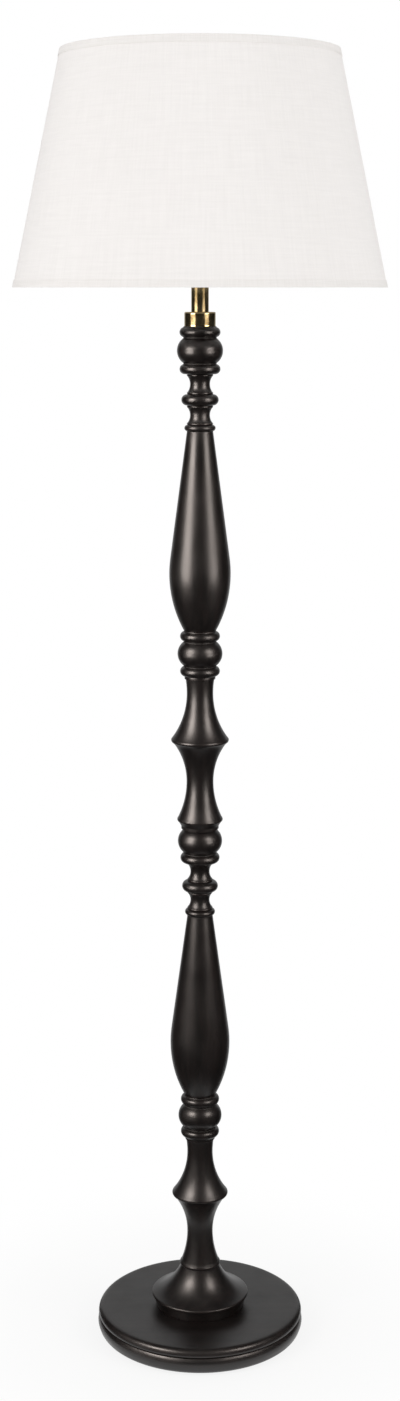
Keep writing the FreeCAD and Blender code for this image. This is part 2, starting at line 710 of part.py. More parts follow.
def knop_section(label, height):
    """Two hollow necks with a knop between them, and fine beads at every change."""
    fine = bow(s.astragal_height, s.astragal_crest - s.astragal_root)
    steps = [("line", s.astragal_root, ZERO)]
    top = ZERO
    for cove_height in (s.lower_cove_height, s.upper_cove_height):
        if cove_height is s.upper_cove_height:
            steps.append(("line", s.knop_root, top))
            top = top + s.knop_height
            steps.append(("round", s.knop_root, top,
                          bow(s.knop_height, s.knop_crest - s.knop_root)))
            steps.append(("line", s.astragal_root, top))
        top = top + s.astragal_height
        steps.append(("round", s.astragal_root, top, fine))
        top = top + cove_height
        steps.append(("hollow", s.astragal_root, top,
                      bow(cove_height, s.astragal_root - s.cove_radius)))
        top = top + s.astragal_height
        steps.append(("round", s.astragal_root, top, fine))
    turned(label, [*tenon_below(), *steps, *tenon_above(top)], z=height)
    return height + top


level = bead_group("lower_bead", level)
level = vase("lower_vase", s.lower_vase_length, level)
level = knop_section("lower_knop", level)

# The bead under the middle spindle has one ring only.
first_ring, first_ring_top = ring(ZERO)
middle_bead, middle_bead_height = bead(first_ring_top)
middle_bead_top = middle_bead_height + s.quirk_height
turned("middle_bead", [
    *socket_below(), ("line", s.group_root, ZERO), first_ring, *middle_bead,
    ("line", s.group_root, middle_bead_top), *socket_above(middle_bead_top), *bore_and_socket(),
], z=level)
level = level + middle_bead_top

# Middle spindle: a small lip, a waist and the upper trumpet.
small_lip = s.spindle_foot_height + s.small_lip_rise
small_lip_over = small_lip + s.small_lip_thickness
middle_waist_height = small_lip_over + s.small_flare
middle_under, middle_trumpet, spindle_length = trumpet(
    middle_waist_height, s.middle_trumpet_flare)
turned("middle_spindle", [
    *tenon_below(),
    ("line", s.spindle_foot_radius, ZERO),
    ("line", s.spindle_foot_radius, s.spindle_foot_height),
    ("line", s.small_lip_root, small_lip),
    ("round", s.small_lip_top, small_lip_over, s.small_lip_nose),
    ("hollow", s.middle_waist, middle_waist_height,
     flare(s.small_flare, s.small_lip_top - s.middle_waist)),
    ("hollow", s.trumpet_under, middle_under,
     flare(s.trumpet_rise, s.trumpet_under - s.middle_waist)),
    *middle_trumpet,
    *tenon_above(spindle_length),
], z=level)
level = level + spindle_length

level = bead_group("upper_bead", level)
level = vase("upper_vase", s.upper_vase_length, level)
level = knop_section("upper_knop", level)

# Capital: ring, ball and ring; its flat top carries the brass collar.
capital_steps, capital_height = ring_bead_ring()
turned("capital", [
    *socket_below(), *capital_steps, ("line", wood_bore, capital_height), *bore_and_socket(),
], z=level)
wood_top = level + capital_height

# ---------------------------------------------------------------- brass collar and neck
pipe_hole = s.pipe_radius + s.part_gap
collar_floor = s.collar_height - s.collar_seat
turned("brass_collar", [
    (pipe_hole, ZERO),
    ("line", s.collar_radius, ZERO),
    ("line", s.collar_radius, s.collar_height - s.collar_edge),
    ("round", s.collar_radius - s.collar_edge, s.collar_height, s.collar_edge),
    ("line", s.neck_radius + s.part_gap, s.collar_height),
    ("line", s.neck_radius + s.part_gap, collar_floor),
    ("line", pipe_hole, collar_floor),
], z=wood_top)
neck_foot = wood_top + collar_floor
neck_whole = s.collar_seat + s.neck_length
neck_bore = s.neck_radius - s.neck_wall
turned("brass_neck", [
    (neck_bore, ZERO),
    ("line", s.neck_radius, ZERO),
    ("line", s.neck_radius, neck_whole),
    ("line", neck_bore, neck_whole),
], z=neck_foot)
neck_top = neck_foot + neck_whole
turned("neck_cap", [
    (pipe_hole, -s.neck_cap_spigot),
    ("line", neck_bore - s.part_gap, -s.neck_cap_spigot),
    ("line", neck_bore - s.part_gap, ZERO),
    ("line", s.neck_cap_radius, ZERO),
    ("line", s.neck_cap_radius, s.neck_cap_height / 2),
    ("round", s.neck_cap_radius - s.neck_cap_height / 2, s.neck_cap_height,
     s.neck_cap_height / 2),
    ("line", pipe_hole, s.neck_cap_height),
], z=neck_top)

# ---------------------------------------------------------------- harp saddle
saddle_bottom = neck_top + s.neck_cap_height
strip_top = saddle_bottom + s.strip_thickness
saddle = new_body("harp_saddle")
saddle_outline = sketch_on(saddle, "saddle_outline", "XZ_Plane")
ear_inner = s.saddle_reach - s.strip_thickness / 2
ear_outer = s.saddle_reach + s.strip_thickness / 2
bend_outer = s.saddle_bend + s.strip_thickness
draw_outline(saddle_outline, [
    (-ear_outer, bend_outer),
    ("round", bend_outer - ear_outer, ZERO, bend_outer),
    ("line", ear_outer - bend_outer, ZERO),
    ("round", ear_outer, bend_outer, bend_outer),
    ("line", ear_outer, s.saddle_rise),
    ("line", ear_inner, s.saddle_rise),
    ("line", ear_inner, bend_outer),
    ("hollow", ear_inner - s.saddle_bend, s.strip_thickness, s.saddle_bend),
    ("line", s.saddle_bend - ear_inner, s.strip_thickness),
    ("hollow", -ear_inner, bend_outer, s.saddle_bend),
    ("line", -ear_inner, s.saddle_rise),
    ("line", -ear_outer, s.saddle_rise),
])
strip = saddle.newObject("PartDesign::Pad", "saddle_strip")
strip.Profile = saddle_outline
sized(strip, Length=s.strip_width)
strip.SideType = "Symmetric"
saddle.Tip = strip
peg_foot = s.saddle_rise + s.ear_height / 2
peg_radius = s.harp_wire - s.sleeve_gap
for side, reach in (("left", -s.saddle_reach), ("right", s.saddle_reach)):
    drill(saddle, "ear_head_" + side, s.ear_radius, s.ear_height, x=reach,
          z=s.saddle_rise - s.ear_height / 2, add=True)
    drill(saddle, "peg_" + side, peg_radius, s.peg_height, x=reach, z=peg_foot, add=True)
drill(saddle, "pipe_hole", pipe_hole, s.strip_thickness)
place(saddle, z=saddle_bottom)

turned("lock_nut", [
    (s.pipe_radius + s.thread_gap, ZERO),
    ("line", s.lock_nut_radius, ZERO),
    ("line", s.lock_nut_radius, s.lock_nut_height),
    ("line", s.pipe_radius + s.thread_gap, s.lock_nut_height),
], z=strip_top)
holder_foot = strip_top + s.lock_nut_height

pipe_foot = recess_ceiling - s.pipe_below
pipe_top = holder_foot + s.cap_hub_height
turned("threaded_pipe", [
    (s.pipe_bore, ZERO),
    ("line", s.pipe_radius, ZERO),
    ("line", s.pipe_radius, pipe_top - pipe_foot),
    ("line", s.pipe_bore, pipe_top - pipe_foot),
], z=pipe_foot)

# ---------------------------------------------------------------- harp
# One half of the wire is drawn and mirrored: a straight foot, a bend, a straight run that
# leans out, and a quarter of the bow that ends at the middle of the top.
leg_foot = saddle_bottom + peg_foot + s.peg_height
harp_seat = strip_top + s.harp_height
wire_top = harp_seat - s.harp_hub_above - leg_foot
harp = new_body("harp")
wire_section = sketch_on(harp, "wire_section", "XY_Plane")
section = wire_section.addGeometry(
    Part.Circle(FreeCAD.Vector(s.saddle_reach.number, 0, 0), FreeCAD.Vector(0, 0, 1),
                s.harp_wire.number))
pin_point(wire_section, section, 3, s.saddle_reach, ZERO, "wire")
bind(wire_section, "Radius", (section,), s.harp_wire, "wire_radius")


wire_path = sketch_on(harp, "wire_path", "XZ_Plane")
reach, leg, bend_radius = s.saddle_reach.number, s.harp_leg.number, s.harp_bend.number
bow_radius, apex = s.harp_width.number, wire_top.number
bend_middle = FreeCAD.Vector(reach + bend_radius, leg, 0)
bow_middle = FreeCAD.Vector(0, apex - bow_radius, 0)
between = bow_middle - bend_middle
facing = math.atan2(between.y, between.x)
opening = math.acos((bend_radius + bow_radius) / between.Length)
to_bend = FreeCAD.Vector(math.cos(facing + opening), math.sin(facing + opening), 0)
bend_end = bend_middle + to_bend * bend_radius
bow_start = bow_middle - to_bend * bow_radius
straight = wire_path.addGeometry(
    Part.LineSegment(FreeCAD.Vector(reach, 0, 0), FreeCAD.Vector(reach, leg, 0)))
turn_out, (turn_first, turn_last) = arc_between(
    FreeCAD.Vector(reach, leg, 0), bend_end, bend_radius, True)
turn_out = wire_path.addGeometry(turn_out)
run = wire_path.addGeometry(Part.LineSegment(bend_end, bow_start))
bow_arc, (bow_first, bow_last) = arc_between(
    bow_start, FreeCAD.Vector(0, apex, 0), bow_radius, False)
bow_arc = wire_path.addGeometry(bow_arc)
pin_point(wire_path, straight, 1, s.saddle_reach, ZERO, "foot")
pin_point(wire_path, straight, 2, s.saddle_reach, s.harp_leg, "leg")
wire_path.addConstraint(Sketcher.Constraint("Tangent", straight, 2, turn_out, turn_first))
wire_path.addConstraint(Sketcher.Constraint("Tangent", turn_out, turn_last, run, 1))
wire_path.addConstraint(Sketcher.Constraint("Tangent", run, 2, bow_arc, bow_first))
bind(wire_path, "Radius", (turn_out,), s.harp_bend, "bend")
bind(wire_path, "Radius", (bow_arc,), s.harp_width, "bow")
pin_point(wire_path, bow_arc, 3, ZERO, wire_top - s.harp_width, "middle")
wire_path.addConstraint(Sketcher.Constraint("PointOnObject", bow_arc, bow_last, -2))
half_wire = harp.newObject("PartDesign::AdditivePipe", "half_wire")
half_wire.Profile = wire_section
half_wire.Spine = (wire_path, ["Edge1", "Edge2", "Edge3", "Edge4"])
harp.Tip = half_wire
other_wire = harp.newObject("PartDesign::Mirrored", "other_wire")
other_wire.Originals = [half_wire]
harp_side = [item for item in harp.Origin.OriginFeatures if item.Role == "YZ_Plane"][0]
other_wire.MirrorPlane = (harp_side, [""])
harp.Tip = other_wire
hub_top = wire_top + s.harp_hub_above
revolve(harp, "seat_and_post", [
    (ZERO, wire_top - s.harp_hub_below),
    ("line", s.harp_hub, wire_top - s.harp_hub_below),
    ("line", s.harp_hub, hub_top),
    ("line", s.post_radius, hub_top),
    ("line", s.post_radius, hub_top + s.post_height),
    ("line", ZERO, hub_top + s.post_height),
])
place(harp, z=leg_foot)

# Sleeves: they slide down the legs and hide the joint with the saddle's pegs.
sleeve_bore = s.harp_wire + s.sleeve_gap
for label, side in (("harp_sleeve_left", -s.saddle_reach), ("harp_sleeve_right", s.saddle_reach)):
    sleeve = new_body(label)
    revolve(sleeve, label + "_turning", [
        (sleeve_bore, ZERO),
        ("line", sleeve_bore + s.sleeve_wall, ZERO),
        ("line", sleeve_bore + s.sleeve_wall, s.sleeve_length),
        ("line", sleeve_bore, s.sleeve_length),
    ])
    place(sleeve, x=side, z=saddle_bottom + peg_foot)

# ---------------------------------------------------------------- shade
shade_foot = harp_seat + s.spider_drop - s.shade_height
slope = (s.shade_bottom - s.shade_top) / s.shade_height


def shade_radius(height):
    """The shade's outer radius at a height above its lower rim."""
    return s.shade_bottom - slope * height


def shade_band(label, low, high, inner, outer):
    """A band of the shade's cone between two heights; inner and outer are from its outside."""
    return turned(label, [
        (shade_radius(low) + inner, low),
        ("line", shade_radius(low) + outer, low),
        ("line", shade_radius(high) + outer, high),
        ("line", shade_radius(high) + inner, high),
    ], z=shade_foot)


trim_outer = s.skin_gap + s.trim_wall
shade_band("shade_cover", ZERO, s.shade_height, -s.shade_wall, ZERO)
shade_band("lower_hem", ZERO, s.trim_height, s.skin_gap, trim_outer)
shade_band("upper_hem", s.shade_height - s.trim_height, s.shade_height, s.skin_gap, trim_outer)


def wire_ring(body, name, height):
    """A round wire ring inside the shade. Returns the radius of its middle line."""
    middle = shade_radius(height) - s.shade_wall - s.skin_gap - s.frame_wire * 1.05
    sketch = sketch_on(body, name + "_section", "XZ_Plane")
    circle = sketch.addGeometry(
        Part.Circle(FreeCAD.Vector(middle.number, height.number, 0), FreeCAD.Vector(0, 0, 1),
                    s.frame_wire.number))
    pin_point(sketch, circle, 3, middle, height, "middle")
    bind(sketch, "Radius", (circle,), s.frame_wire, "wire")
    feature = body.newObject("PartDesign::Revolution", name)
    feature.Profile = sketch
    feature.ReferenceAxis = (sketch, ["V_Axis"])
    feature.Angle = 360
    body.Tip = feature
    return middle


lower_ring = new_body("lower_ring")
wire_ring(lower_ring, "lower_wire", s.frame_inset)
place(lower_ring, z=shade_foot)

# Upper frame: the top ring, three welded arms and the washer that sits on the harp.
frame = new_body("spider_frame")
ring_height = s.shade_height - s.frame_inset
ring_middle = wire_ring(frame, "upper_wire", ring_height)
washer_bottom = s.shade_height - s.spider_drop
arm_level = washer_bottom + s.spider_washer_thickness / 2
arm_section = sketch_on(frame, "arm_section", "YZ_Plane")
arm_circle = arm_section.addGeometry(
    Part.Circle(FreeCAD.Vector(0, arm_level.number, 0), FreeCAD.Vector(0, 0, 1),
                s.frame_wire.number))
pin_point(arm_section, arm_circle, 3, ZERO, arm_level, "middle")
bind(arm_section, "Radius", (arm_circle,), s.frame_wire, "wire")
arm_start = s.spider_washer - s.frame_wire * 2
arm_section.AttachmentOffset = FreeCAD.Placement(
    FreeCAD.Vector(0, 0, arm_start.number), FreeCAD.Rotation())
arm_section.setExpression(".AttachmentOffset.Base.z", arm_start.text)
arm_path = sketch_on(frame, "arm_path", "XZ_Plane")
flat_end = FreeCAD.Vector(s.spider_flat.number, arm_level.number, 0)
far_end = FreeCAD.Vector(ring_middle.number, ring_height.number, 0)
curve_middle = FreeCAD.Vector(flat_end.x, flat_end.y + s.spider_bend.number, 0)
away = far_end - curve_middle
rise = math.atan2(away.y, away.x) - math.acos(s.spider_bend.number / away.Length)
curve_end = curve_middle + FreeCAD.Vector(math.cos(rise), math.sin(rise), 0) * s.spider_bend.number
flat_run = arm_path.addGeometry(
    Part.LineSegment(FreeCAD.Vector(arm_start.number, arm_level.number, 0), flat_end))
curve, (curve_first, curve_last) = arc_between(flat_end, curve_end, s.spider_bend.number, False)
curve = arm_path.addGeometry(curve)
sloping_run = arm_path.addGeometry(Part.LineSegment(curve_end, far_end))
pin_point(arm_path, flat_run, 1, arm_start, arm_level, "start")
pin_point(arm_path, flat_run, 2, s.spider_flat, arm_level, "flat")
pin_point(arm_path, sloping_run, 2, ring_middle, ring_height, "far")
arm_path.addConstraint(Sketcher.Constraint("Tangent", flat_run, 2, curve, curve_first))
arm_path.addConstraint(Sketcher.Constraint("Tangent", curve, curve_last, sloping_run, 1))
bind(arm_path, "Radius", (curve,), s.spider_bend, "bend")
arm = frame.newObject("PartDesign::AdditivePipe", "arm")
arm.Profile = arm_section
arm.Spine = (arm_path, ["Edge1", "Edge2", "Edge3"])
frame.Tip = arm
ARM_COUNT = 3
around(frame, "arms", arm, ARM_COUNT)
revolve(frame, "washer", [
    (s.post_radius + s.spider_hole_gap, washer_bottom),
    ("line", s.spider_washer, washer_bottom),
    ("line", s.spider_washer, washer_bottom + s.spider_washer_thickness),
    ("line", s.post_radius + s.spider_hole_gap, washer_bottom + s.spider_washer_thickness),
])
place(frame, z=shade_foot, turn=QUARTER_TURN)

# Finial: screwed on the harp's post, over the washer.
finial_bore = s.post_radius + s.thread_gap
ball_foot = s.finial_base_height + s.finial_waist_height
ball_middle = ball_foot + root(s.finial_ball * s.finial_ball - s.finial_waist * s.finial_waist)
turned("finial", [
    (finial_bore, ZERO),
    ("line", s.finial_base, ZERO),
    ("line", s.finial_base, s.finial_base_height),
    ("line", s.finial_waist, s.finial_base_height + s.finial_waist_height / 2),
    ("line", s.finial_waist, ball_foot),
    ("round", ZERO, ball_middle + s.finial_ball, s.finial_ball),
    ("line", ZERO, s.finial_bore_depth),
    ("line", finial_bore, s.finial_bore_depth),
], z=harp_seat + s.spider_washer_thickness)

# ---------------------------------------------------------------- lampholder
dome_foot = s.cap_hub_height + s.cap_neck_height
dome_top = dome_foot + s.cap_dome_height
cap_top = dome_top + s.cap_skirt_height
cap_inner = s.cap_radius - s.shell_wall
cap_neck_inner = s.cap_neck_radius - s.shell_wall
cap_hole = s.pipe_radius + s.part_gap
cap = turned("holder_cap", [
    (cap_hole, ZERO),
    ("line", s.cap_hub, ZERO),
    ("line", s.cap_hub, s.cap_hub_height),
    ("line", s.cap_neck_radius, dome_foot),
    ("round", s.cap_radius, dome_top, s.cap_dome_round),
    ("line", s.cap_radius, cap_top),
    ("line", cap_inner, cap_top),
    ("line", cap_inner, dome_top),
    ("hollow", cap_neck_inner, dome_foot + s.shell_wall, s.cap_dome_round - s.shell_wall),
    ("line", cap_hole, dome_foot + s.shell_wall),
], z=holder_foot)
drill(cap, "set_screw_hole", s.set_screw_radius + s.part_gap, s.cap_hub, y=cap_hole / 2,
      z=s.cap_hub_height / 2, turn=TO_BACK)
set_screw = new_body("set_screw")
screw_reach = s.cap_hub - cap_hole
revolve(set_screw, "set_screw_turning", [
    (ZERO, ZERO),
    ("line", s.set_screw_radius, ZERO),
    ("line", s.set_screw_radius, screw_reach + s.set_screw_radius),
    ("line", s.set_screw_head, screw_reach + s.set_screw_radius),
    ("line", s.set_screw_head, screw_reach + s.set_screw_radius * 2),
    ("line", ZERO, screw_reach + s.set_screw_radius * 2),
])
place(set_screw, y=cap_hole, z=holder_foot + s.cap_hub_height / 2, turn=TO_BACK)

shell_radius = cap_inner - s.part_gap
shell_inner = shell_radius - s.shell_wall
shell_foot = holder_foot + dome_top
shell = turned("holder_shell", [
    (shell_inner, ZERO),
    ("line", shell_radius, ZERO),
    ("line", shell_radius, s.shell_height),
    ("line", shell_inner, s.shell_height),
], z=shell_foot)
liner_radius = shell_inner - s.part_gap
liner_inner = liner_radius - s.liner_wall
liner_height = s.shell_height + s.liner_stand
liner = turned("holder_liner", [
    (liner_inner, ZERO),
    ("line", liner_radius, ZERO),
    ("line", liner_radius, liner_height),
    ("line", liner_inner, liner_height),
], z=shell_foot)
body_radius = liner_inner - s.part_gap
moulded = turned("holder_body", [
    (ZERO, ZERO),
    ("line", body_radius, ZERO),
    ("line", body_radius, s.holder_body_height),
    ("line", ZERO, s.holder_body_height),
], z=shell_foot)
key_hole = s.key_shaft + s.thread_gap
for body, name in ((shell, "shell_key_hole"), (liner, "liner_key_hole")):
    drill(body, name, key_hole, s.cap_radius, z=s.key_height, turn=TO_FRONT)
drill(moulded, "body_key_hole", key_hole, s.cap_radius, y=-(s.key_depth - s.tenon_slack),
      z=s.key_height, turn=TO_FRONT)
thread_inner = s.bulb_cap_radius + s.bulb_thread_gap
screw_shell_foot = shell_foot + s.holder_body_height
turned("screw_shell", [
    (thread_inner, ZERO),
    ("line", thread_inner + s.screw_shell_wall, ZERO),
    ("line", thread_inner + s.screw_shell_wall, s.screw_shell_height),
    ("line", thread_inner, s.screw_shell_height),
], z=screw_shell_foot)
turned("centre_contact", [
    (ZERO, ZERO),
    ("line", s.contact_radius, ZERO),
    ("line", s.contact_radius, s.contact_height),
    ("line", ZERO, s.contact_height),
], z=screw_shell_foot)

# Switch key: its shaft turns in the moulded body, its fluted knob stands out to the front.
key = new_body("switch_key")
knob_start = s.cap_radius + s.key_gap - s.key_depth
knob_end = knob_start + s.key_knob_length
knob_round = s.key_flute
revolve(key, "key_turning", [
    (ZERO, ZERO),
    ("line", s.key_shaft, ZERO),
    ("line", s.key_shaft, knob_start),
    ("line", s.key_knob_radius, knob_start),
    ("line", s.key_knob_radius, knob_end - knob_round),
    ("round", s.key_knob_radius - knob_round, knob_end, knob_round),
    ("line", ZERO, knob_end),
])
flute = drill(key, "flute", s.key_flute, s.key_knob_length, x=s.key_knob_radius + s.key_flute / 2,
              z=knob_start)
FLUTE_COUNT = 12
around(key, "flutes", flute, FLUTE_COUNT)
place(key, y=-s.key_depth, z=shell_foot + s.key_height, turn=TO_FRONT)

# ---------------------------------------------------------------- bulb
tip_foot = screw_shell_foot + s.contact_height
cap_foot = tip_foot + s.bulb_tip_height
turned("bulb_tip", [
    (ZERO, ZERO),
    ("line", s.bulb_tip_radius, ZERO),
    ("line", s.bulb_tip_radius, s.bulb_tip_height),
    ("line", ZERO, s.bulb_tip_height),
], z=tip_foot)
cap_cup_inner = s.bulb_cap_radius - s.bulb_cap_wall
turned("bulb_cap", [
    (ZERO, ZERO),
    ("line", s.bulb_tip_radius, ZERO),
    ("line", s.bulb_cap_radius, s.bulb_glass_neck),
    ("line", s.bulb_cap_radius, s.bulb_cap_height),
    ("line", cap_cup_inner, s.bulb_cap_height),
    ("line", cap_cup_inner, s.bulb_cap_height - s.bulb_glass_neck),
    ("line", ZERO, s.bulb_cap_height - s.bulb_glass_neck),
], z=cap_foot)
shoulder_spread = s.bulb_shoulder_radius - s.bulb_neck_radius
below_globe = root(s.bulb_globe * s.bulb_globe
                   - s.bulb_shoulder_radius * s.bulb_shoulder_radius)
# The neck's hollow curve leaves upright and meets the globe in line with it.
neck_curve = shoulder_spread / (as_size(1) - s.bulb_shoulder_radius / s.bulb_globe)
neck_rise = neck_curve * below_globe / s.bulb_globe
glass_shoulder = s.bulb_glass_neck + neck_rise
turned("bulb_glass", [
    (ZERO, ZERO),
    ("line", cap_cup_inner - s.part_gap, ZERO),
    ("line", cap_cup_inner - s.part_gap, s.bulb_glass_neck),
    ("line", s.bulb_neck_radius, s.bulb_glass_neck),
    ("hollow", s.bulb_shoulder_radius, glass_shoulder, neck_curve),
    ("round", ZERO, glass_shoulder + below_globe + s.bulb_globe, s.bulb_globe),
], z=cap_foot + s.bulb_cap_height - s.bulb_glass_neck)

# ---------------------------------------------------------------- check and write
doc.recompute()
faults = [obj.Name for obj in doc.Objects if {"Invalid", "Error"} & set(obj.State)]
for label, obj in parts.items():
    if obj.Shape.isNull() or not obj.Shape.isValid() or not obj.Shape.Solids:
        faults.append(label)
if faults:
    raise RuntimeError("these did not come out: " + ", ".join(faults))
os.makedirs("parts", exist_ok=True)
for label, obj in parts.items():
    obj.Shape.exportStep(os.path.join("parts", label + ".step"))
print(len(parts), "sub-parts; shade rim at", round(shade_foot.number, 1), "mm, wood top at",
      round(wood_top.number, 1), "mm")
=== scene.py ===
import math

import bpy
import numpy as np
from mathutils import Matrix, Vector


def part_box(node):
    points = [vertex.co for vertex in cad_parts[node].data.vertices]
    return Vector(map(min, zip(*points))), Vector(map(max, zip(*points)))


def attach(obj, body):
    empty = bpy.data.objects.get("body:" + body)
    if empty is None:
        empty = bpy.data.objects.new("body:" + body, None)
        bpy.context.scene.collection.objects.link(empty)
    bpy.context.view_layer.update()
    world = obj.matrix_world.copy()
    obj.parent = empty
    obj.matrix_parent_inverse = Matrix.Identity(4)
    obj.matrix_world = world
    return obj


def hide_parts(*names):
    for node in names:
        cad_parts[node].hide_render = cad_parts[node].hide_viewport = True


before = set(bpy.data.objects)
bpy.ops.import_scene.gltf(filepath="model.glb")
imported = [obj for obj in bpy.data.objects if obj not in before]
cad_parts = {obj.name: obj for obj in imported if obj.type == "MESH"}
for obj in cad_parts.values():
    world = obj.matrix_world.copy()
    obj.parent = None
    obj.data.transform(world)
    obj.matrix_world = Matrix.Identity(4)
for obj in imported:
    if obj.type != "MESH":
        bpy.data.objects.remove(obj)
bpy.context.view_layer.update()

# ------------------------ base plate
# A thick disc glued up from beech and turned on a faceplate: rounded foot, swelling band, cut
# groove and a full round up to the flat top. Stained near black and lacquered satin, so the
# grain is only just there, and the edges are rubbed a little browner. The grooves are painted
# darkest: stain gathers there, and painted shade deepens it.
MM = 0.001


def outline(*steps, closed=True):
    """A turner's profile as points (radius, height) in mm, every quarter millimetre.

    A step is (radius, height) for a straight run to there, or (radius, height, bend) for an arc
    of that radius: its centre is on the left of the walk, so that it bows outwards, or on the
    right where bend is negative, so that it is hollow. Material is on the left of the walk. The
    profile closes with a straight run, unless it starts on the axis."""
    here = np.array(steps[0][:2], float)
    closed = closed and steps[0][0] > 0
    runs = []
    for step in [*steps[1:], *([steps[0][:2]] if closed else [])]:
        there = np.array(step[:2], float)
        chord = there - here
        length = np.hypot(*chord)
        share = np.linspace(0, 1, max(int(length * 4), 1) + 1)[:-1, None]
        if len(step) == 2:
            runs.append(here + share * chord)
        else:
            side, bend = np.sign(step[2]), abs(step[2])
            outward = np.array([chord[1], -chord[0]]) / length * side
            along = np.array([-outward[1], outward[0]])
            reach = math.sqrt(max(bend ** 2 - length ** 2 / 4, 0))
            turn = (2 * share - 1) * math.asin(min(length / 2 / bend, 1)) * side
            middle = (here + there) / 2 - outward * reach
            runs.append(middle + bend * (np.cos(turn) * outward + np.sin(turn) * along))
        here = there
    return np.concatenate([*runs, *([] if closed else [here[None]])])


def bow(length, depth):
    """Radius of the arc over a chord of that length that stands that deep at its middle."""
    return (length * length / 4 + depth * depth) / (depth * 2)


def flare(length, spread):
    """Radius of the arc that starts parallel to the axis and spreads that far in that length."""
    return (length * length + spread * spread) / (spread * 2)


def sanded(points, corner):
    """The profile with its corners broken, and how sharply it bends at each point, per mm.

    The profile is walked in even steps as complex numbers radius + i height, and each point is
    averaged with its neighbours under a bell curve whose half width is corner: a product with
    exp(-(frequency * corner)^2 / 2) in its Fourier series. A profile that starts and ends on the
    axis is closed with its own mirror image first. Bending is the turn of the tangent per mm,
    positive where the wood stands proud."""
    whole = points[:, 0] + 1j * points[:, 1]
    on_axis = abs(whole[0].real) + abs(whole[-1].real) < 1e-9
    walk = np.concatenate([whole, -whole[-2::-1].conj()] if on_axis else [whole, whole[:1]])
    travelled = np.concatenate([[0], np.cumsum(abs(np.diff(walk)))])
    count = 4 * int(travelled[-1])
    even = np.linspace(0, travelled[-1], count, endpoint=False)
    ring = np.interp(even, travelled, walk.real) + 1j * np.interp(even, travelled, walk.imag)
    wave = np.fft.fftfreq(count, travelled[-1] / count) * 2 * np.pi
    series = np.fft.fft(ring) * np.exp(-(wave * corner) ** 2 / 2)
    ring = np.fft.ifft(series)
    tangent = np.fft.ifft(1j * wave * series)
    bending = np.fft.ifft(-wave ** 2 * series)
    bend = (tangent.conj() * bending).imag / np.maximum(abs(tangent), 0.1) ** 3
    if on_axis:
        ring, bend = ring[:count // 2 + 1], bend[:count // 2 + 1]
        ring[[0, -1]] = 1j * ring[[0, -1]].imag
    return ring, bend


def spaced(ring, bend, longest, turn, loop):
    """Fewer points of a profile: no two are further apart than longest mm or turn degrees."""
    walk = np.concatenate([ring, ring[:1]]) if loop else ring
    bends = np.concatenate([bend, bend[:1]]) if loop else bend
    steps = abs(np.diff(walk))
    bent = abs(bends[1:] + bends[:-1]) / 2 * steps
    measure = np.concatenate([[0], np.cumsum(steps / longest + bent / math.radians(turn))])
    chosen = np.linspace(0, measure[-1], math.ceil(measure[-1]) + 1)
    at = np.interp(chosen, measure, np.arange(len(walk)))
    pick = [np.interp(at, np.arange(len(walk)), v) for v in (walk.real, walk.imag, bends)]
    return [v[:-1] for v in pick] if loop else pick


def skin(grid, loop, bend=0.0):
    """Faces over a grid of points, rows along the profile and columns round it.

    The last column joins the first. The last row joins the first in a loop; otherwise the first
    and last rows are poles, one point each, and their faces are triangles. u is the share of the
    way round and v the way along the profile in metres. Returns points, corners, faces' corner
    counts, corner uv and bend."""
    rows, columns = grid.shape[:2]
    bend = np.broadcast_to(bend, (rows,))
    if loop:
        points, marks = grid.reshape(-1, 3), np.repeat(bend, columns)
        index = np.arange(rows * columns).reshape(rows, columns)
        index = np.vstack([index, index[:1]])
    else:
        points = np.concatenate([grid[0, :1], grid[1:-1].reshape(-1, 3), grid[-1, :1]])
        marks = np.concatenate([bend[:1], np.repeat(bend[1:-1], columns), bend[-1:]])
        index = np.zeros((rows, columns), int)
        index[1:-1] = 1 + np.arange((rows - 2) * columns).reshape(rows - 2, columns)
        index[-1] = len(points) - 1
    low, high = index[:-1], index[1:]
    faces = np.stack([low, np.roll(low, -1, 1), np.roll(high, -1, 1), high], -1).reshape(-1, 4)
    walk = grid[[*range(rows), 0]] if loop else grid
    way = np.linalg.norm(np.diff(walk[:, 0], axis=0), axis=1).cumsum()
    way = np.concatenate([[0], way])
    column, row = np.meshgrid(np.arange(columns), np.arange(len(way) - 1))
    u = np.stack([column, column + 1, column + 1, column], -1) / columns
    v = np.stack([way[row], way[row], way[row + 1], way[row + 1]], -1) * MM
    real = faces != np.roll(faces, -1, 1)
    uv = np.stack([u, v], -1).reshape(-1, 4, 2)
    return points, faces[real], real.sum(1), uv[real], marks


def turned(profile, corner=0.35, columns=96, longest=6.0, turn=14.0, at=(0, 0, 0), axis="up",
           ripple=None):
    """A lathe's surface: the sanded profile carried once round its axis.

    Point (angle, t) = ((radius(t) + ripple(angle, t)) cos angle, the same sin angle, height(t)).
    at is where the axis starts, in mm; axis is up, back (along +Y) or front (along -Y)."""
    ring, bend = sanded(profile, corner)
    loop = abs(profile[0, 0]) + abs(profile[-1, 0]) > 1e-9
    radius, height, bend = spaced(ring, bend, longest, turn, loop)
    angle = np.arange(columns) * 2 * np.pi / columns
    wide = radius[:, None] + (0 if ripple is None else ripple(angle, radius[:, None],
                                                              height[:, None]))
    x, y, z = wide * np.cos(angle), wide * np.sin(angle), height[:, None] + 0 * angle
    faced = {"up": (x, y, z), "back": (x, z, -y), "front": (x, -z, y)}[axis]
    return skin(np.stack(faced, -1) + np.array(at, float), loop, bend)


def placed(name, data):
    """A new object in the scene with this data."""
    obj = bpy.data.objects.new(name, data)
    bpy.context.scene.collection.objects.link(obj)
    return obj


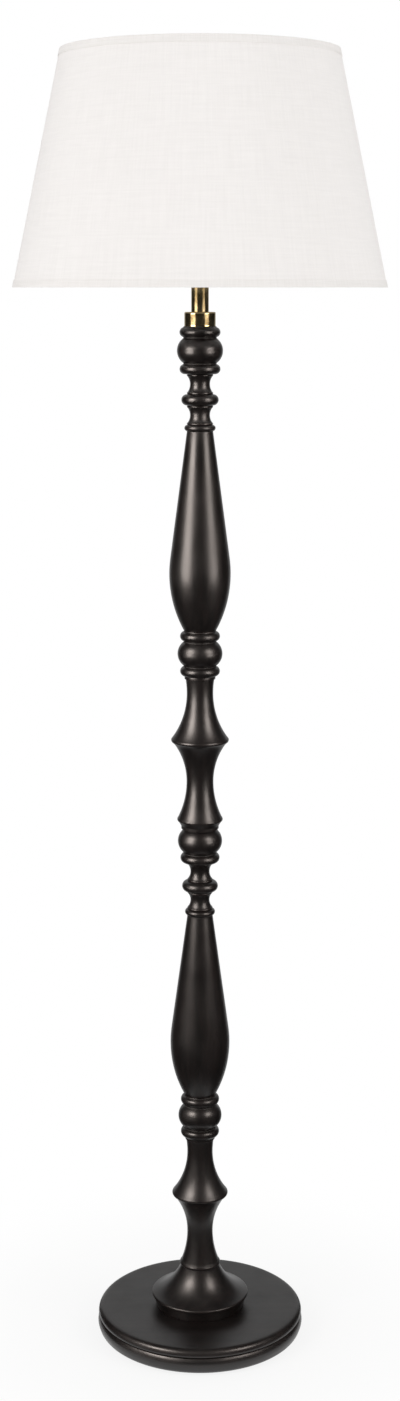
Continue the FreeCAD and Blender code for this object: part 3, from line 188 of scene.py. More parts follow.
def piece(name, *skins):
    """One object from one or more skins, smooth shaded, with uv "wrap" and attribute "bend"."""
    shift = np.cumsum([0, *(len(s[0]) for s in skins)])
    points, counts, uv, marks = (np.concatenate([s[i] for s in skins]) for i in (0, 2, 3, 4))
    corners = np.concatenate([s[1] + first for s, first in zip(skins, shift)])
    mesh = bpy.data.meshes.new(name)
    mesh.vertices.add(len(points))
    mesh.vertices.foreach_set("co", (points * MM).astype(np.float32).ravel())
    mesh.loops.add(len(corners))
    mesh.loops.foreach_set("vertex_index", corners.astype(np.int32))
    mesh.polygons.add(len(counts))
    mesh.polygons.foreach_set("loop_start", (counts.cumsum() - counts).astype(np.int32))
    mesh.update(calc_edges=True)
    mesh.uv_layers.new(name="wrap").data.foreach_set("uv", uv.astype(np.float32).ravel())
    mesh.attributes.new("bend", "FLOAT", "POINT").data.foreach_set(
        "value", marks.astype(np.float32))
    mesh.shade_smooth()
    return placed(name, mesh)


def dress(obj, body, slot, material, *nodes):
    """The piece gets its finish, moves with its body and stands for its CAD nodes."""
    obj.data.materials.clear()
    obj.data.materials.append(material)
    if nodes:
        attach(obj, body)
        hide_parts(*nodes)
    return obj


def lowest(node):
    """Height of a CAD node's lowest point, in mm."""
    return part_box(node)[0].z / MM


def linear(code):
    """An sRGB hex colour as linear red, green, blue and full alpha."""
    share = np.array([int(code[i:i + 2], 16) for i in (1, 3, 5)]) / 255
    value = np.where(share <= 0.04045, share / 12.92, ((share + 0.055) / 1.055) ** 2.4)
    return (*value, 1.0)


def add(tree, kind, inputs=(), **settings):
    """Add a node, set its properties, and give its sockets values or links. Returns it."""
    made = tree.nodes.new("ShaderNode" + kind)
    for key, value in settings.items():
        setattr(made, key, value)
    for key, value in dict(inputs).items():
        if isinstance(value, bpy.types.NodeSocket):
            tree.links.new(value, made.inputs[key])
        else:
            made.inputs[key].default_value = value
    return made


def finish_of(name, **sockets):
    """A new material, its node tree and its shader, with plain numbers on the shader's sockets."""
    material = bpy.data.materials.new(name)
    material.use_nodes = True
    shader = material.node_tree.nodes["Principled BSDF"]
    for key, value in sockets.items():
        shader.inputs[key.replace("_", " ")].default_value = value
    return material, material.node_tree, shader


def emboss(tree, height, strength, depth):
    """Let the shader's normal follow a height that is depth mm deep."""
    bump = add(tree, "Bump", {"Height": height, "Strength": strength, "Distance": depth * MM})
    tree.links.new(bump.outputs["Normal"], tree.nodes["Principled BSDF"].inputs["Normal"])


def spread(tree, value, low, high, to_low=0.0, to_high=1.0):
    """The value mapped so that low gives to_low and high gives to_high, and held between."""
    return add(tree, "MapRange", {"Value": value, "From Min": low, "From Max": high,
                                  "To Min": to_low, "To Max": to_high}).outputs[0]


PORE_ACROSS, PORE_ALONG = 0.9, 26.0     # beech flecks are 0.3 mm wide; drawn wider, to show
STREAK_ACROSS, STREAK_ALONG = 7.0, 220.0


def stained_beech(name, across_x):
    """Near-black stained beech under satin lacquer; the grain runs up, or along X in the base.

    The eye gets a soft grey-brown sheen with clear but not mirror-like lights, fine darker
    flecks along the grain, a browner line where edges are rubbed, and painted shade that makes
    the grooves near black over the stain that gathers in them."""
    material, tree, shader = finish_of(name, IOR=1.55)
    place = add(tree, "TexCoord").outputs["Object"]

    def fibres(across, along, **settings):
        """Noise drawn out along the grain: one mark is across wide and along long, in mm."""
        squeeze = (across / along, 1, 1) if across_x else (1, 1, across / along)
        spot = add(tree, "Mapping", {"Vector": place, "Scale": squeeze}).outputs["Vector"]
        return add(tree, "TexNoise", {"Vector": spot, "Scale": 1 / (across * MM), **settings})

    pores = fibres(PORE_ACROSS, PORE_ALONG, Detail=3.0, Roughness=0.6).outputs["Fac"]
    streaks = fibres(STREAK_ACROSS, STREAK_ALONG, Detail=2.0).outputs["Fac"]
    ramp = add(tree, "ValToRGB", {"Fac": streaks})
    ramp.color_ramp.elements[0].position = 0.3
    ramp.color_ramp.elements[0].color = linear("#0f0b0a")
    ramp.color_ramp.elements[1].position = 0.72
    ramp.color_ramp.elements[1].color = linear("#1d1513")
    flecks = spread(tree, pores, 0.52, 0.72, 0.0, 0.55)
    stain = add(tree, "Mix", {"Factor": flecks, "A": ramp.outputs["Color"],
                              "B": linear("#0a0807")}, data_type="RGBA").outputs["Result"]
    bend = add(tree, "Attribute", attribute_name="bend").outputs["Fac"]
    patches = add(tree, "TexNoise", {"Vector": place, "Scale": 1 / (38 * MM),
                                     "Detail": 3.0}).outputs["Fac"]
    edge = spread(tree, bend, 0.12, 1.1)
    worn = spread(tree, patches, 0.42, 0.68, 0.05, 0.4)
    rub = add(tree, "Math", {0: edge, 1: worn}, operation="MULTIPLY").outputs[0]
    rubbed = add(tree, "Mix", {"Factor": rub, "A": stain, "B": linear("#38231c")},
                 data_type="RGBA").outputs["Result"]
    # Painted shade: the grooves go towards near black, deeper than the stain gathered in them.
    groove = spread(tree, bend, -0.1, -0.9, 0.0, 0.85)
    colour = add(tree, "Mix", {"Factor": groove, "A": rubbed, "B": linear("#060504")},
                 data_type="RGBA").outputs["Result"]
    gloss = spread(tree, patches, 0.3, 0.7, 0.3, 0.4)
    dull = add(tree, "Math", {0: groove, 1: 0.3, 2: gloss}, operation="MULTIPLY_ADD").outputs[0]
    emboss(tree, pores, 0.06 if across_x else 0.2, 0.05)
    tree.links.new(colour, shader.inputs["Base Color"])
    tree.links.new(dull, shader.inputs["Roughness"])
    return material


BASE_FOOT, BASE_RIM, BASE_BAND, BASE_GROOVE, BASE_CREST = 127.0, 135.3, 132.8, 131.2, 135.8
BASE_LEVELS = (8.0, 22.2, 23.7, 25.9, 34.3)      # rim, band, groove, crest and flat top
FOOT_BOW, BAND_BOW, CREST_BOW, SHOULDER = 9.5, 12.0, 3.2, 8.4
RECESS, RECESS_DEPTH = 101.0, 16.0
FOOT_SOCKET, FOOT_SOCKET_DEPTH = 16.15, 10.0
BORE = 5.5
OUTLET_HEIGHT, OUTLET_HOLE, OUTLET_SEAT, OUTLET_SEAT_DEPTH = 11.0, 5.35, 8.15, 134.2
CUT_START, CUT_END = 60.0, 160.0

flat_grain = stained_beech("stained_beech_flat_grain", True)
rim, band, groove_top, crest, base_top = BASE_LEVELS
base_seat = lowest("base_plate")
base = piece("wood_base", turned(outline(
    (RECESS, 0), (BASE_FOOT, 0), (BASE_RIM, rim, FOOT_BOW), (BASE_BAND, band, BAND_BOW),
    (BASE_GROOVE, band), (BASE_GROOVE, groove_top), (BASE_CREST, crest, CREST_BOW),
    (BASE_CREST - SHOULDER, base_top, SHOULDER), (FOOT_SOCKET, base_top),
    (FOOT_SOCKET, base_top - FOOT_SOCKET_DEPTH), (BORE, base_top - FOOT_SOCKET_DEPTH),
    (BORE, RECESS_DEPTH), (RECESS, RECESS_DEPTH)), columns=224, at=(0, 0, base_seat)))
outlet_level = base_seat + OUTLET_HEIGHT
cutter = piece("outlet_cutter", turned(outline(
    (0, CUT_START), (OUTLET_HOLE, CUT_START), (OUTLET_HOLE, OUTLET_SEAT_DEPTH),
    (OUTLET_SEAT, OUTLET_SEAT_DEPTH), (OUTLET_SEAT, CUT_END), (0, CUT_END)),
    corner=0.05, columns=48, at=(0, 0, outlet_level), axis="back"))
cut = base.modifiers.new("outlet", "BOOLEAN")
cut.object, cut.solver = cutter, "EXACT"
bpy.context.view_layer.update()
drilled = bpy.data.meshes.new_from_object(
    base.evaluated_get(bpy.context.evaluated_depsgraph_get()))
base.modifiers.clear()
base.data = drilled
bpy.data.objects.remove(cutter)
base.data.set_sharp_from_angle(angle=math.radians(40))
dress(base, "lamp", "stained_wood", flat_grain, "base_plate")

# ------------------------ felt pad
# A disc of pressed wool felt glued under the wood: matt, charcoal and a little hairy, with a
# cut edge that is soft to the touch.
FELT_RADIUS, FELT_THICKNESS = 120.0, 2.0


def mottled(name, size, detail, low, high, rough=None, relief=None, ends=(0.0, 1.0), noise=(),
            **sockets):
    """A finish of two colours mixed by a noise whose marks are size mm wide.

    ends are the noise's values where the colours are pure and rough the roughness at both.
    relief is the bump's strength and its depth in mm; noise holds more of the noise's sockets."""
    material, tree, shader = finish_of(name, **sockets)
    place = add(tree, "TexCoord").outputs["Object"]
    marks = add(tree, "TexNoise", {"Vector": place, "Scale": 1 / (size * MM), "Detail": detail,
                                   **dict(noise)}).outputs["Fac"]
    ramp = add(tree, "ValToRGB", {"Fac": marks})
    for stop, end, code in zip(ramp.color_ramp.elements, ends, (low, high)):
        stop.position, stop.color = end, linear(code)
    tree.links.new(ramp.outputs["Color"], shader.inputs["Base Color"])
    if rough:
        tree.links.new(spread(tree, marks, *ends, *rough), shader.inputs["Roughness"])
    if relief:
        emboss(tree, marks, *relief)
    return material


def lathed(name, node, body, slot, material, steps, **more):
    """A turned piece, dressed, in place of its CAD node; more goes to turned()."""
    dress(piece(name, turned(outline(*steps), **more)), body, slot, material, node)


felt = mottled("pressed_wool_felt", 1.6, 6.0, "#2a2a2a", "#4c4b4a", relief=(0.5, 0.3),
               noise={"Roughness": 0.7, "Distortion": 1.5}, Roughness=0.95, Sheen_Weight=0.4,
               Sheen_Roughness=0.6)
lathed("felt_foot", "felt_pad", "lamp", "felt", felt,
       [(0, 0), (FELT_RADIUS, 0), (FELT_RADIUS, FELT_THICKNESS), (0, FELT_THICKNESS)],
       columns=128, longest=12.0)

# ------------------------ ballast and outlet
# A cast-iron disc with a sand-cast skin lies in the recess, held by three zinc-plated screws.
# The cord's way out is a moulded black bush pressed into the back of the base's edge.
iron = mottled("sand_cast_iron", 1.2, 5.0, "#343537", "#5c5d60", relief=(0.6, 0.4),
               Metallic=0.6, Roughness=0.7)
zinc = mottled("zinc_plated_steel", 3, 3.0, "#b9bbbd", "#d6d8da", rough=(0.28, 0.45),
               Metallic=1.0)
dress(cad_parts["ballast_disc"], "lamp", "cast_iron", iron)
for name in ("ballast_screws", "base_washer", "base_nut", "threaded_pipe", "set_screw"):
    dress(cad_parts[name], "lamp", "zinc_steel", zinc)

moulded = mottled("moulded_black_nylon", 0.8, 2.0, "#161616", "#202020", rough=(0.38, 0.5),
                  relief=(0.2, 0.05), IOR=1.53)
BUSH_LENGTH, BUSH_BORE, BUSH_OUTER, BUSH_MOUTH = 33.0, 3.5, 5.2, 1.2
FLANGE, FLANGE_THICKNESS, FLANGE_RIM, FLANGE_DOME = 8.0, 1.8, 0.5, 12.0
bush_start = OUTLET_SEAT_DEPTH + FLANGE_THICKNESS - BUSH_LENGTH
lathed("outlet_bushing", "outlet_bush", "lamp", "black_plastic", moulded, [
    (BUSH_BORE, 0), (BUSH_OUTER, 0), (BUSH_OUTER, BUSH_LENGTH - FLANGE_THICKNESS),
    (FLANGE, BUSH_LENGTH - FLANGE_THICKNESS), (FLANGE, BUSH_LENGTH - FLANGE_RIM),
    (BUSH_BORE + BUSH_MOUTH, BUSH_LENGTH, FLANGE_DOME),
    (BUSH_BORE, BUSH_LENGTH - BUSH_MOUTH, BUSH_MOUTH)],
    corner=0.15, columns=64, at=(0, bush_start, outlet_level), axis="back")

# ------------------------ foot spindle
# The lowest turning of the column, from one beech blank: a wide bell with a rolled lip stands
# on the base, then a collar bead, a slim waist and a trumpet-shaped lip under the upper neck.
upright_grain = stained_beech("stained_beech_upright_grain", False)
TENON, TENON_LENGTH, TENON_SLACK, TENON_GAP = 9.0, 12.0, 1.0, 0.15
FOOT_TENON, FOOT_TENON_LENGTH = 16.0, 9.0
SOCKET, SOCKET_DEPTH = TENON + TENON_GAP, TENON_LENGTH + TENON_SLACK
TENON_BELOW = [(BORE, -TENON_LENGTH), (TENON, -TENON_LENGTH), (TENON, 0)]
LIP_UNDER, LIP, LIP_CREST, LIP_BOW = 32.2, 34.6, 35.5, 3.1       # the trumpets' lips
LIP_FLARE, LIP_RISE, LIP_HEIGHT = 48.5, 2.7, 5.5
SLIM, NECK_TOP, NECK_HEIGHT, FILLET, FILLET_HEIGHT = 16.7, 18.2, 18.5, 19.6, 4.0


def tenon_above(top):
    """Over the shoulder, up the tenon and in to the bore."""
    return (TENON, top), (TENON, top + TENON_LENGTH), (BORE, top + TENON_LENGTH)


def trumpet(waist, lip_under, flare_height):
    """Lip, flare, waist, neck and fillet over a lip's underside at that height, and the top."""
    lip = lip_under + LIP_RISE
    lip_top = lip + LIP_HEIGHT
    slim = lip_top + flare_height
    neck = slim + NECK_HEIGHT
    top = neck + FILLET_HEIGHT
    return [(LIP_UNDER, lip_under, -flare(LIP_FLARE, LIP_UNDER - waist)), (LIP, lip),
            (LIP_CREST, lip_top, LIP_BOW), (SLIM, slim, -flare(flare_height, LIP_CREST - SLIM)),
            (NECK_TOP, neck, -flare(NECK_HEIGHT, NECK_TOP - SLIM)), (FILLET, neck),
            (FILLET, top)], top


def wooden(name, node, below, *steps):
    """A turned wood section in place of its CAD node; below is how far it reaches down."""
    lathed(name, node, "lamp", "stained_wood", upright_grain, steps,
           at=(0, 0, lowest(node) + below))


BELL_FOOT, BELL, BELL_UNDER, BELL_LIP, BELL_LIP_BULGE = 58.0, 62.0, 14.0, 4.5, 2.4
BELL_TOP, BELL_TOP_HEIGHT, BELL_HOLLOW = 25.2, 56.5, 66.0
COLLAR_BEAD, COLLAR_BEAD_BULGE = 5.0, 1.7
FOOT_WAIST, FOOT_WAIST_HEIGHT, FOOT_FLARE_HEIGHT = 16.9, 104.0, 55.0
foot_trumpet, foot_top = trumpet(FOOT_WAIST, FOOT_WAIST_HEIGHT + LIP_FLARE, FOOT_FLARE_HEIGHT)
bead_top = BELL_TOP_HEIGHT + COLLAR_BEAD
wooden("wood_foot", "foot_bell", FOOT_TENON_LENGTH,
       (BORE, -FOOT_TENON_LENGTH), (FOOT_TENON, -FOOT_TENON_LENGTH), (FOOT_TENON, 0),
       (BELL_FOOT, 0), (BELL, BELL_UNDER), (BELL, BELL_UNDER + BELL_LIP,
                                            bow(BELL_LIP, BELL_LIP_BULGE)),
       (BELL_TOP, BELL_TOP_HEIGHT, -BELL_HOLLOW),
       (BELL_TOP, bead_top, bow(COLLAR_BEAD, COLLAR_BEAD_BULGE)),
       (FOOT_WAIST, FOOT_WAIST_HEIGHT, -flare(FOOT_WAIST_HEIGHT - bead_top,
                                              BELL_TOP - FOOT_WAIST)),
       *foot_trumpet, *tenon_above(foot_top))

# ------------------------ bead groups and capital
# Short turnings between the long ones: a big bead between two sharp rings, with flat quirks
# where each curve starts. The one under the middle spindle has a ring below only, and the
# capital's top is closed, for the brass collar.
ROOT, RING, RING_CREST, BEAD, BEAD_CREST, QUIRK = 20.4, 12.0, 25.2, 30.6, 28.4, 1.1
ring_bow, bead_bow = bow(RING, RING_CREST - ROOT), bow(BEAD, BEAD_CREST - ROOT)
ring_and_bead = [(ROOT, 0), (ROOT, RING, ring_bow), (ROOT, RING + QUIRK),
                 (ROOT, RING + QUIRK + BEAD, bead_bow), (ROOT, RING + 2 * QUIRK + BEAD)]
half_top = RING + 2 * QUIRK + BEAD
group_top = half_top + RING + QUIRK
whole_group = [*ring_and_bead, (ROOT, half_top + RING, ring_bow), (ROOT, group_top)]
lower_socket = [(BORE, SOCKET_DEPTH), (SOCKET, SOCKET_DEPTH)]


def socket_above(top):
    """In to the upper socket's mouth, down its wall and in to the bore."""
    return (SOCKET, top), (SOCKET, top - SOCKET_DEPTH), (BORE, top - SOCKET_DEPTH)


for node in ("lower_bead", "upper_bead"):
    wooden("wood_" + node, node, 0, (SOCKET, 0), *whole_group, *socket_above(group_top),
           *lower_socket)
wooden("wood_middle_bead", "middle_bead", 0, (SOCKET, 0), *ring_and_bead,
       *socket_above(half_top), *lower_socket)
wooden("wood_capital", "capital", 0, (SOCKET, 0), *whole_group, (BORE, group_top), *lower_socket)

# ------------------------ vases
# Two long turnings that swell above the foot and taper to a small cap ring. Each is one blank,
# so the grain runs from end to end.
VASE_FOOT, VASE_CREST, VASE_SWELL, VASE_NECK = 20.2, 38.6, 150.0, 16.2
CAP_RING, CAP_RING_CREST = 7.5, 19.4
for node, length in (("lower_vase", 245.5), ("upper_vase", 250.3)):
    middle = complex(VASE_CREST - VASE_SWELL,
                     math.sqrt(VASE_SWELL ** 2 - (VASE_FOOT - VASE_CREST + VASE_SWELL) ** 2))
    away = complex(VASE_NECK, length) - middle
    facing = math.atan2(away.imag, away.real) - math.acos(VASE_SWELL / abs(away))
    touch = middle + VASE_SWELL * complex(math.cos(facing), math.sin(facing))
    wooden("wood_" + node, node, TENON_LENGTH, *TENON_BELOW, (VASE_FOOT, 0),
           (touch.real, touch.imag, VASE_SWELL), (VASE_NECK, length),
           (VASE_NECK, length + CAP_RING, bow(CAP_RING, CAP_RING_CREST - VASE_NECK)),
           *socket_above(length + CAP_RING))

# ------------------------ knop sections
# Two hollow necks with a round knop between them; a fine bead marks every change.
FINE, FINE_ROOT, FINE_CREST, COVE_WAIST = 3.0, 15.2, 16.3, 12.2
KNOP, KNOP_ROOT, KNOP_CREST = 13.5, 16.8, 23.1
LOW_COVE, HIGH_COVE = 18.1, 18.9
fine_bow = bow(FINE, FINE_CREST - FINE_ROOT)


def cove(foot, height):
    """Fine bead, hollow neck and fine bead from that height, and where they end."""
    top = foot + FINE + height
    return [(FINE_ROOT, foot), (FINE_ROOT, foot + FINE, fine_bow),
            (FINE_ROOT, top, -bow(height, FINE_ROOT - COVE_WAIST)),
            (FINE_ROOT, top + FINE, fine_bow)], top + FINE


for node in ("lower_knop", "upper_knop"):
    low_cove, knop_foot = cove(0, LOW_COVE)
    high_cove, knop_top = cove(knop_foot + KNOP, HIGH_COVE)
    wooden("wood_" + node, node, TENON_LENGTH, *TENON_BELOW, *low_cove, (KNOP_ROOT, knop_foot),
           (KNOP_ROOT, knop_foot + KNOP, bow(KNOP, KNOP_CREST - KNOP_ROOT)),
           *high_cove, *tenon_above(knop_top))

# ------------------------ middle spindle
# The waisted turning half way up: a small lip below, a trumpet lip above, like the foot's.
PLINTH, PLINTH_HEIGHT, SMALL_LIP, SMALL_LIP_CREST = 24.0, 4.0, 27.4, 28.2
SMALL_LIP_START, SMALL_LIP_HEIGHT, SMALL_LIP_BOW = 9.5, 5.0, 3.0
MIDDLE_WAIST, MIDDLE_WAIST_HEIGHT, MIDDLE_FLARE_HEIGHT = 17.1, 62.0, 58.0
middle_trumpet, middle_top = trumpet(MIDDLE_WAIST, MIDDLE_WAIST_HEIGHT + LIP_FLARE,
                                     MIDDLE_FLARE_HEIGHT)
small_lip_top = SMALL_LIP_START + SMALL_LIP_HEIGHT
wooden("wood_middle_spindle", "middle_spindle", TENON_LENGTH, *TENON_BELOW,
       (PLINTH, 0), (PLINTH, PLINTH_HEIGHT), (SMALL_LIP, SMALL_LIP_START),
       (SMALL_LIP_CREST, small_lip_top, SMALL_LIP_BOW),
       (MIDDLE_WAIST, MIDDLE_WAIST_HEIGHT, -flare(MIDDLE_WAIST_HEIGHT - small_lip_top,
                                                  SMALL_LIP_CREST - MIDDLE_WAIST)),
       *middle_trumpet, *tenon_above(middle_top))

# ------------------------ brass collar and neck
# Turned and drawn brass, polished on the wheel and lacquered: a solid collar on the capital, a
# tube standing in it and a flanged cap on the tube. Bright, with faint lines round from the
# lathe and small differences in colour under the lacquer.
brass = mottled("polished_lacquered_brass", 14, 4.0, "#a8956a", "#c4b28a", rough=(0.12, 0.18),
                ends=(0.3, 0.7), Metallic=1.0)
tree = brass.node_tree
place = tree.nodes["Texture Coordinate"].outputs["Object"]
lathe = add(tree, "Mapping", {"Vector": place, "Scale": (0.02, 0.02, 1)}).outputs["Vector"]
lines = add(tree, "TexNoise", {"Vector": lathe, "Scale": 1 / (0.5 * MM), "Detail": 2.0})
emboss(tree, lines.outputs["Fac"], 0.1, 0.02)


def brazen(name, node, below, *steps, body="lamp", corner=0.15, **more):
    """A turned brass part in place of its CAD node; below is how far it reaches down."""
    lathed(name, node, body, "polished_brass", brass, steps, corner=corner,
           at=(0, 0, lowest(node) + below), longest=3.0, **more)


def tube(inner, outer, length):
    """The profile of a plain tube that starts at height 0."""
    return (inner, 0), (outer, 0), (outer, length), (inner, length)


PIPE_HOLE = 5.15
COLLAR, COLLAR_HEIGHT, COLLAR_EDGE, COLLAR_FLOOR = 19.3, 17.4, 1.5, 11.4
NECK, NECK_BORE, NECK_LENGTH = 10.75, 9.75, 42.3
brazen("collar", "brass_collar", 0, (PIPE_HOLE, 0), (COLLAR, 0),
       (COLLAR, COLLAR_HEIGHT - COLLAR_EDGE), (COLLAR - COLLAR_EDGE, COLLAR_HEIGHT, COLLAR_EDGE),
       (NECK + TENON_GAP, COLLAR_HEIGHT), (NECK + TENON_GAP, COLLAR_FLOOR),
       (PIPE_HOLE, COLLAR_FLOOR))
brazen("neck_tube", "brass_neck", 0, *tube(NECK_BORE, NECK, NECK_LENGTH))
PLUG, PLUG_LENGTH, CAP, CAP_HEIGHT, CAP_EDGE = NECK_BORE - TENON_GAP, 5.0, 12.0, 3.5, 1.75
brazen("neck_flange", "neck_cap", PLUG_LENGTH, (PIPE_HOLE, -PLUG_LENGTH), (PLUG, -PLUG_LENGTH),
       (PLUG, 0), (CAP, 0), (CAP, CAP_HEIGHT - CAP_EDGE), (CAP - CAP_EDGE, CAP_HEIGHT, CAP_EDGE),
       (PIPE_HOLE, CAP_HEIGHT))

# ------------------------ harp saddle and lock nut
# A bent strip of brass-plated steel with a round head and a peg at each end, clamped on the
# neck by a knurled round nut on the threaded pipe.
dress(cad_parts["harp_saddle"], "lamp", "polished_brass", brass)
KNURL_COUNT, KNURL_DEPTH = 48, 0.35
NUT_BORE, NUT_FACE, NUT, NUT_HEIGHT, NUT_BEVEL = 5.08, 8.4, 9.0, 3.4, 0.6


def knurl(angle, radius, height):
    """Straight knurling on the rim only: a wave of KNURL_COUNT teeth where radius is large."""
    return (radius > NUT_FACE - 0.2) * -KNURL_DEPTH * (0.5 + 0.5 * np.cos(KNURL_COUNT * angle))


brazen("round_nut", "lock_nut", 0, (NUT_BORE, 0), (NUT_FACE, 0), (NUT, NUT_BEVEL),
       (NUT, NUT_HEIGHT - NUT_BEVEL), (NUT_FACE, NUT_HEIGHT), (NUT_BORE, NUT_HEIGHT),
       columns=KNURL_COUNT * 4, corner=0.08, ripple=knurl)

# ------------------------ lampholder
# Spun brass cap and shell, an insulating card liner that stands out of the shell's rim, a
# moulded body with the switch, and the rolled screw shell with its centre contact.
brazen("socket_cap", "holder_cap", 0,
       (5.15, 0), (8.0, 0), (8.0, 8.5), (10.4, 10.5), (17.4, 19.5, 10.5), (17.4, 25.5),
       (16.6, 25.5), (16.6, 19.5), (9.6, 11.3, -9.7), (5.15, 11.3))
SHELL, SHELL_INNER, SHELL_HEIGHT = 16.45, 15.65, 43.0
PRESSED, PRESSED_WIDTH, PRESSED_AT = 0.5, 1.1, (34.0, 38.5)


def pressed_bead(angle, radius, height):
    """Two shallow beads pressed round the shell near its mouth, standing 0.5 mm proud."""
    return PRESSED * sum(np.exp(-((height - at) / PRESSED_WIDTH) ** 2) for at in PRESSED_AT)


shell_seat = lowest("holder_shell")
lathed("socket_shell", "holder_shell", "lamp", "polished_brass", brass,
       tube(SHELL_INNER, SHELL, SHELL_HEIGHT), corner=0.12, longest=0.9,
       at=(0, 0, shell_seat), ripple=pressed_bead)

card = mottled("waxed_insulating_card", 0.7, 5.0, "#b9a884", "#dccfb0", Roughness=0.7)
LINER, LINER_INNER, LINER_HEIGHT = 15.5, 14.7, 44.6
lathed("card_tube", "holder_liner", "lamp", "card_liner", card,
       tube(LINER_INNER, LINER, LINER_HEIGHT), corner=0.12, at=(0, 0, shell_seat))
dress(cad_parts["holder_body"], "lamp", "black_plastic", moulded)

rolled = mottled("rolled_brass_strip", 5, 4.0, "#b4924e", "#d3b474", Metallic=1.0,
                 Roughness=0.35)
SCREW_INNER, SCREW, SCREW_HEIGHT = 13.2, 13.65, 23.0
STUD, STUD_EDGE, STUD_HEIGHT, STUD_DOME = 3.2, 2.2, 3.0, 7.0
screw_seat = lowest("screw_shell")
lathed("screw_sleeve", "screw_shell", "lamp", "thread_brass", rolled,
       tube(SCREW_INNER, SCREW, SCREW_HEIGHT), corner=0.08, longest=0.6, columns=64,
       at=(0, 0, screw_seat))
lathed("contact_stud", "centre_contact", "lamp", "thread_brass", rolled,
       [(0, 0), (STUD, 0), (STUD, STUD_EDGE), (0, STUD_HEIGHT, STUD_DOME)], corner=0.15,
       columns=48, longest=1.0, at=(0, 0, screw_seat))

# ------------------------ switch key
# The turn knob of the lampholder: moulded black, with twelve flutes for the fingers and a thin
# shaft into the body. It stands out to the front and turns without end.
KEY_START, KEY_HEIGHT, KEY_SHAFT, FLUTES, FLUTE_DEPTH = 9.0, 10.0, 2.2, 12, 0.7
KNOB, KNOB_LENGTH, KNOB_EDGE, KNOB_AWAY = 6.5, 11.0, 1.4, 18.8
knob_start = KNOB_AWAY - KEY_START


def fluted(angle, radius, height):
    """Hollows along the knob: how far the wave cos(12 angle) rises over a half, on the rim."""
    rim = np.clip((radius - 4.2) / 1.4, 0, 1)
    return -FLUTE_DEPTH * rim * np.clip(np.cos(FLUTES * angle), 0, 1) ** 1.5


lathed("turn_knob", "switch_key", "switch_key", "black_plastic", moulded, [
    (0, 0), (KEY_SHAFT, 0), (KEY_SHAFT, knob_start), (KNOB, knob_start),
    (KNOB, knob_start + KNOB_LENGTH - KNOB_EDGE),
    (KNOB - KNOB_EDGE, knob_start + KNOB_LENGTH, KNOB_EDGE), (0, knob_start + KNOB_LENGTH)],
    corner=0.2, columns=FLUTES * 16, longest=1.0, at=(0, -KEY_START, shell_seat + KEY_HEIGHT),
    axis="front", ripple=fluted)

# ------------------------ bulb
# A globe lamp of opal glass in a nickel-plated screw cap with a contact disc: an even milky
# white with a glass shine.
opal = mottled("opal_glass", 25, 2.0, "#eeede8", "#f7f6f2", IOR=1.5, Roughness=0.08)
GLOBE, GLOBE_FOOT, GLASS_NECK, GLASS_STEM, GLASS_SEAT = 30.0, 23.0, 13.2, 12.45, 4.5
below_globe = math.sqrt(GLOBE ** 2 - GLOBE_FOOT ** 2)
neck_curve = (GLOBE_FOOT - GLASS_NECK) / (1 - GLOBE_FOOT / GLOBE)
shoulder_height = GLASS_SEAT + neck_curve * below_globe / GLOBE
lathed("opal_globe", "bulb_glass", "bulb", "opal_glass", opal, [
    (0, 0), (GLASS_STEM, 0), (GLASS_STEM, GLASS_SEAT), (GLASS_NECK, GLASS_SEAT),
    (GLOBE_FOOT, shoulder_height, -neck_curve),
    (0, shoulder_height + below_globe + GLOBE, GLOBE)],
    corner=0.15, turn=6.0, longest=4.0, at=(0, 0, lowest("bulb_glass")))

nickel = mottled("bright_nickel_plate", 4, 4.0, "#c2c0ba", "#dddbd5", rough=(0.12, 0.28),
                 Metallic=1.0)
lathed("bulb_screw_cap", "bulb_cap", "bulb", "nickel", nickel,
       [(0, 0), (4.6, 0), (13.1, 4.5), (13.1, 20.0), (12.6, 20.0), (12.6, 15.5), (0, 15.5)],
       corner=0.1, columns=64, longest=0.6, at=(0, 0, lowest("bulb_cap")))
dress(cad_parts["bulb_tip"], "bulb", "nickel", nickel)

# ------------------------ harp
# One length of hard brass wire bent to a harp: straight feet that stand over the saddle's
# pegs, shoulders that bend outwards, and a bow that carries the seat and threaded post.
HARP_WIRE, HARP_REACH, HARP_LEG, HARP_BEND, HARP_BOW = 2.25, 27.0, 28.0, 70.0, 57.0
SEAT, SEAT_UNDER, SEAT_TOP, POST, POST_LENGTH = 6.0, 3.4, 5.0, 3.1, 12.5
POST_PITCH, POST_THREAD = 3.6, 0.25
harp_foot, harp_top = lowest("harp"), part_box("harp")[1].z / MM
WIRE_TOP = harp_top - harp_foot - POST_LENGTH - SEAT_TOP
post_top = SEAT_TOP + POST_LENGTH


def post_thread(angle, radius, height):
    """A rolled thread up the post, a wave in height - pitch * angle that fades at both ends."""
    inside = np.clip((height - SEAT_TOP - 1.0) / 2, 0, 1) * np.clip((post_top - 0.5 - height) / 2,
                                                                    0, 1)
    turn = 2 * np.pi * height / POST_PITCH - angle
    return -POST_THREAD * inside * (0.5 + 0.5 * np.cos(turn))


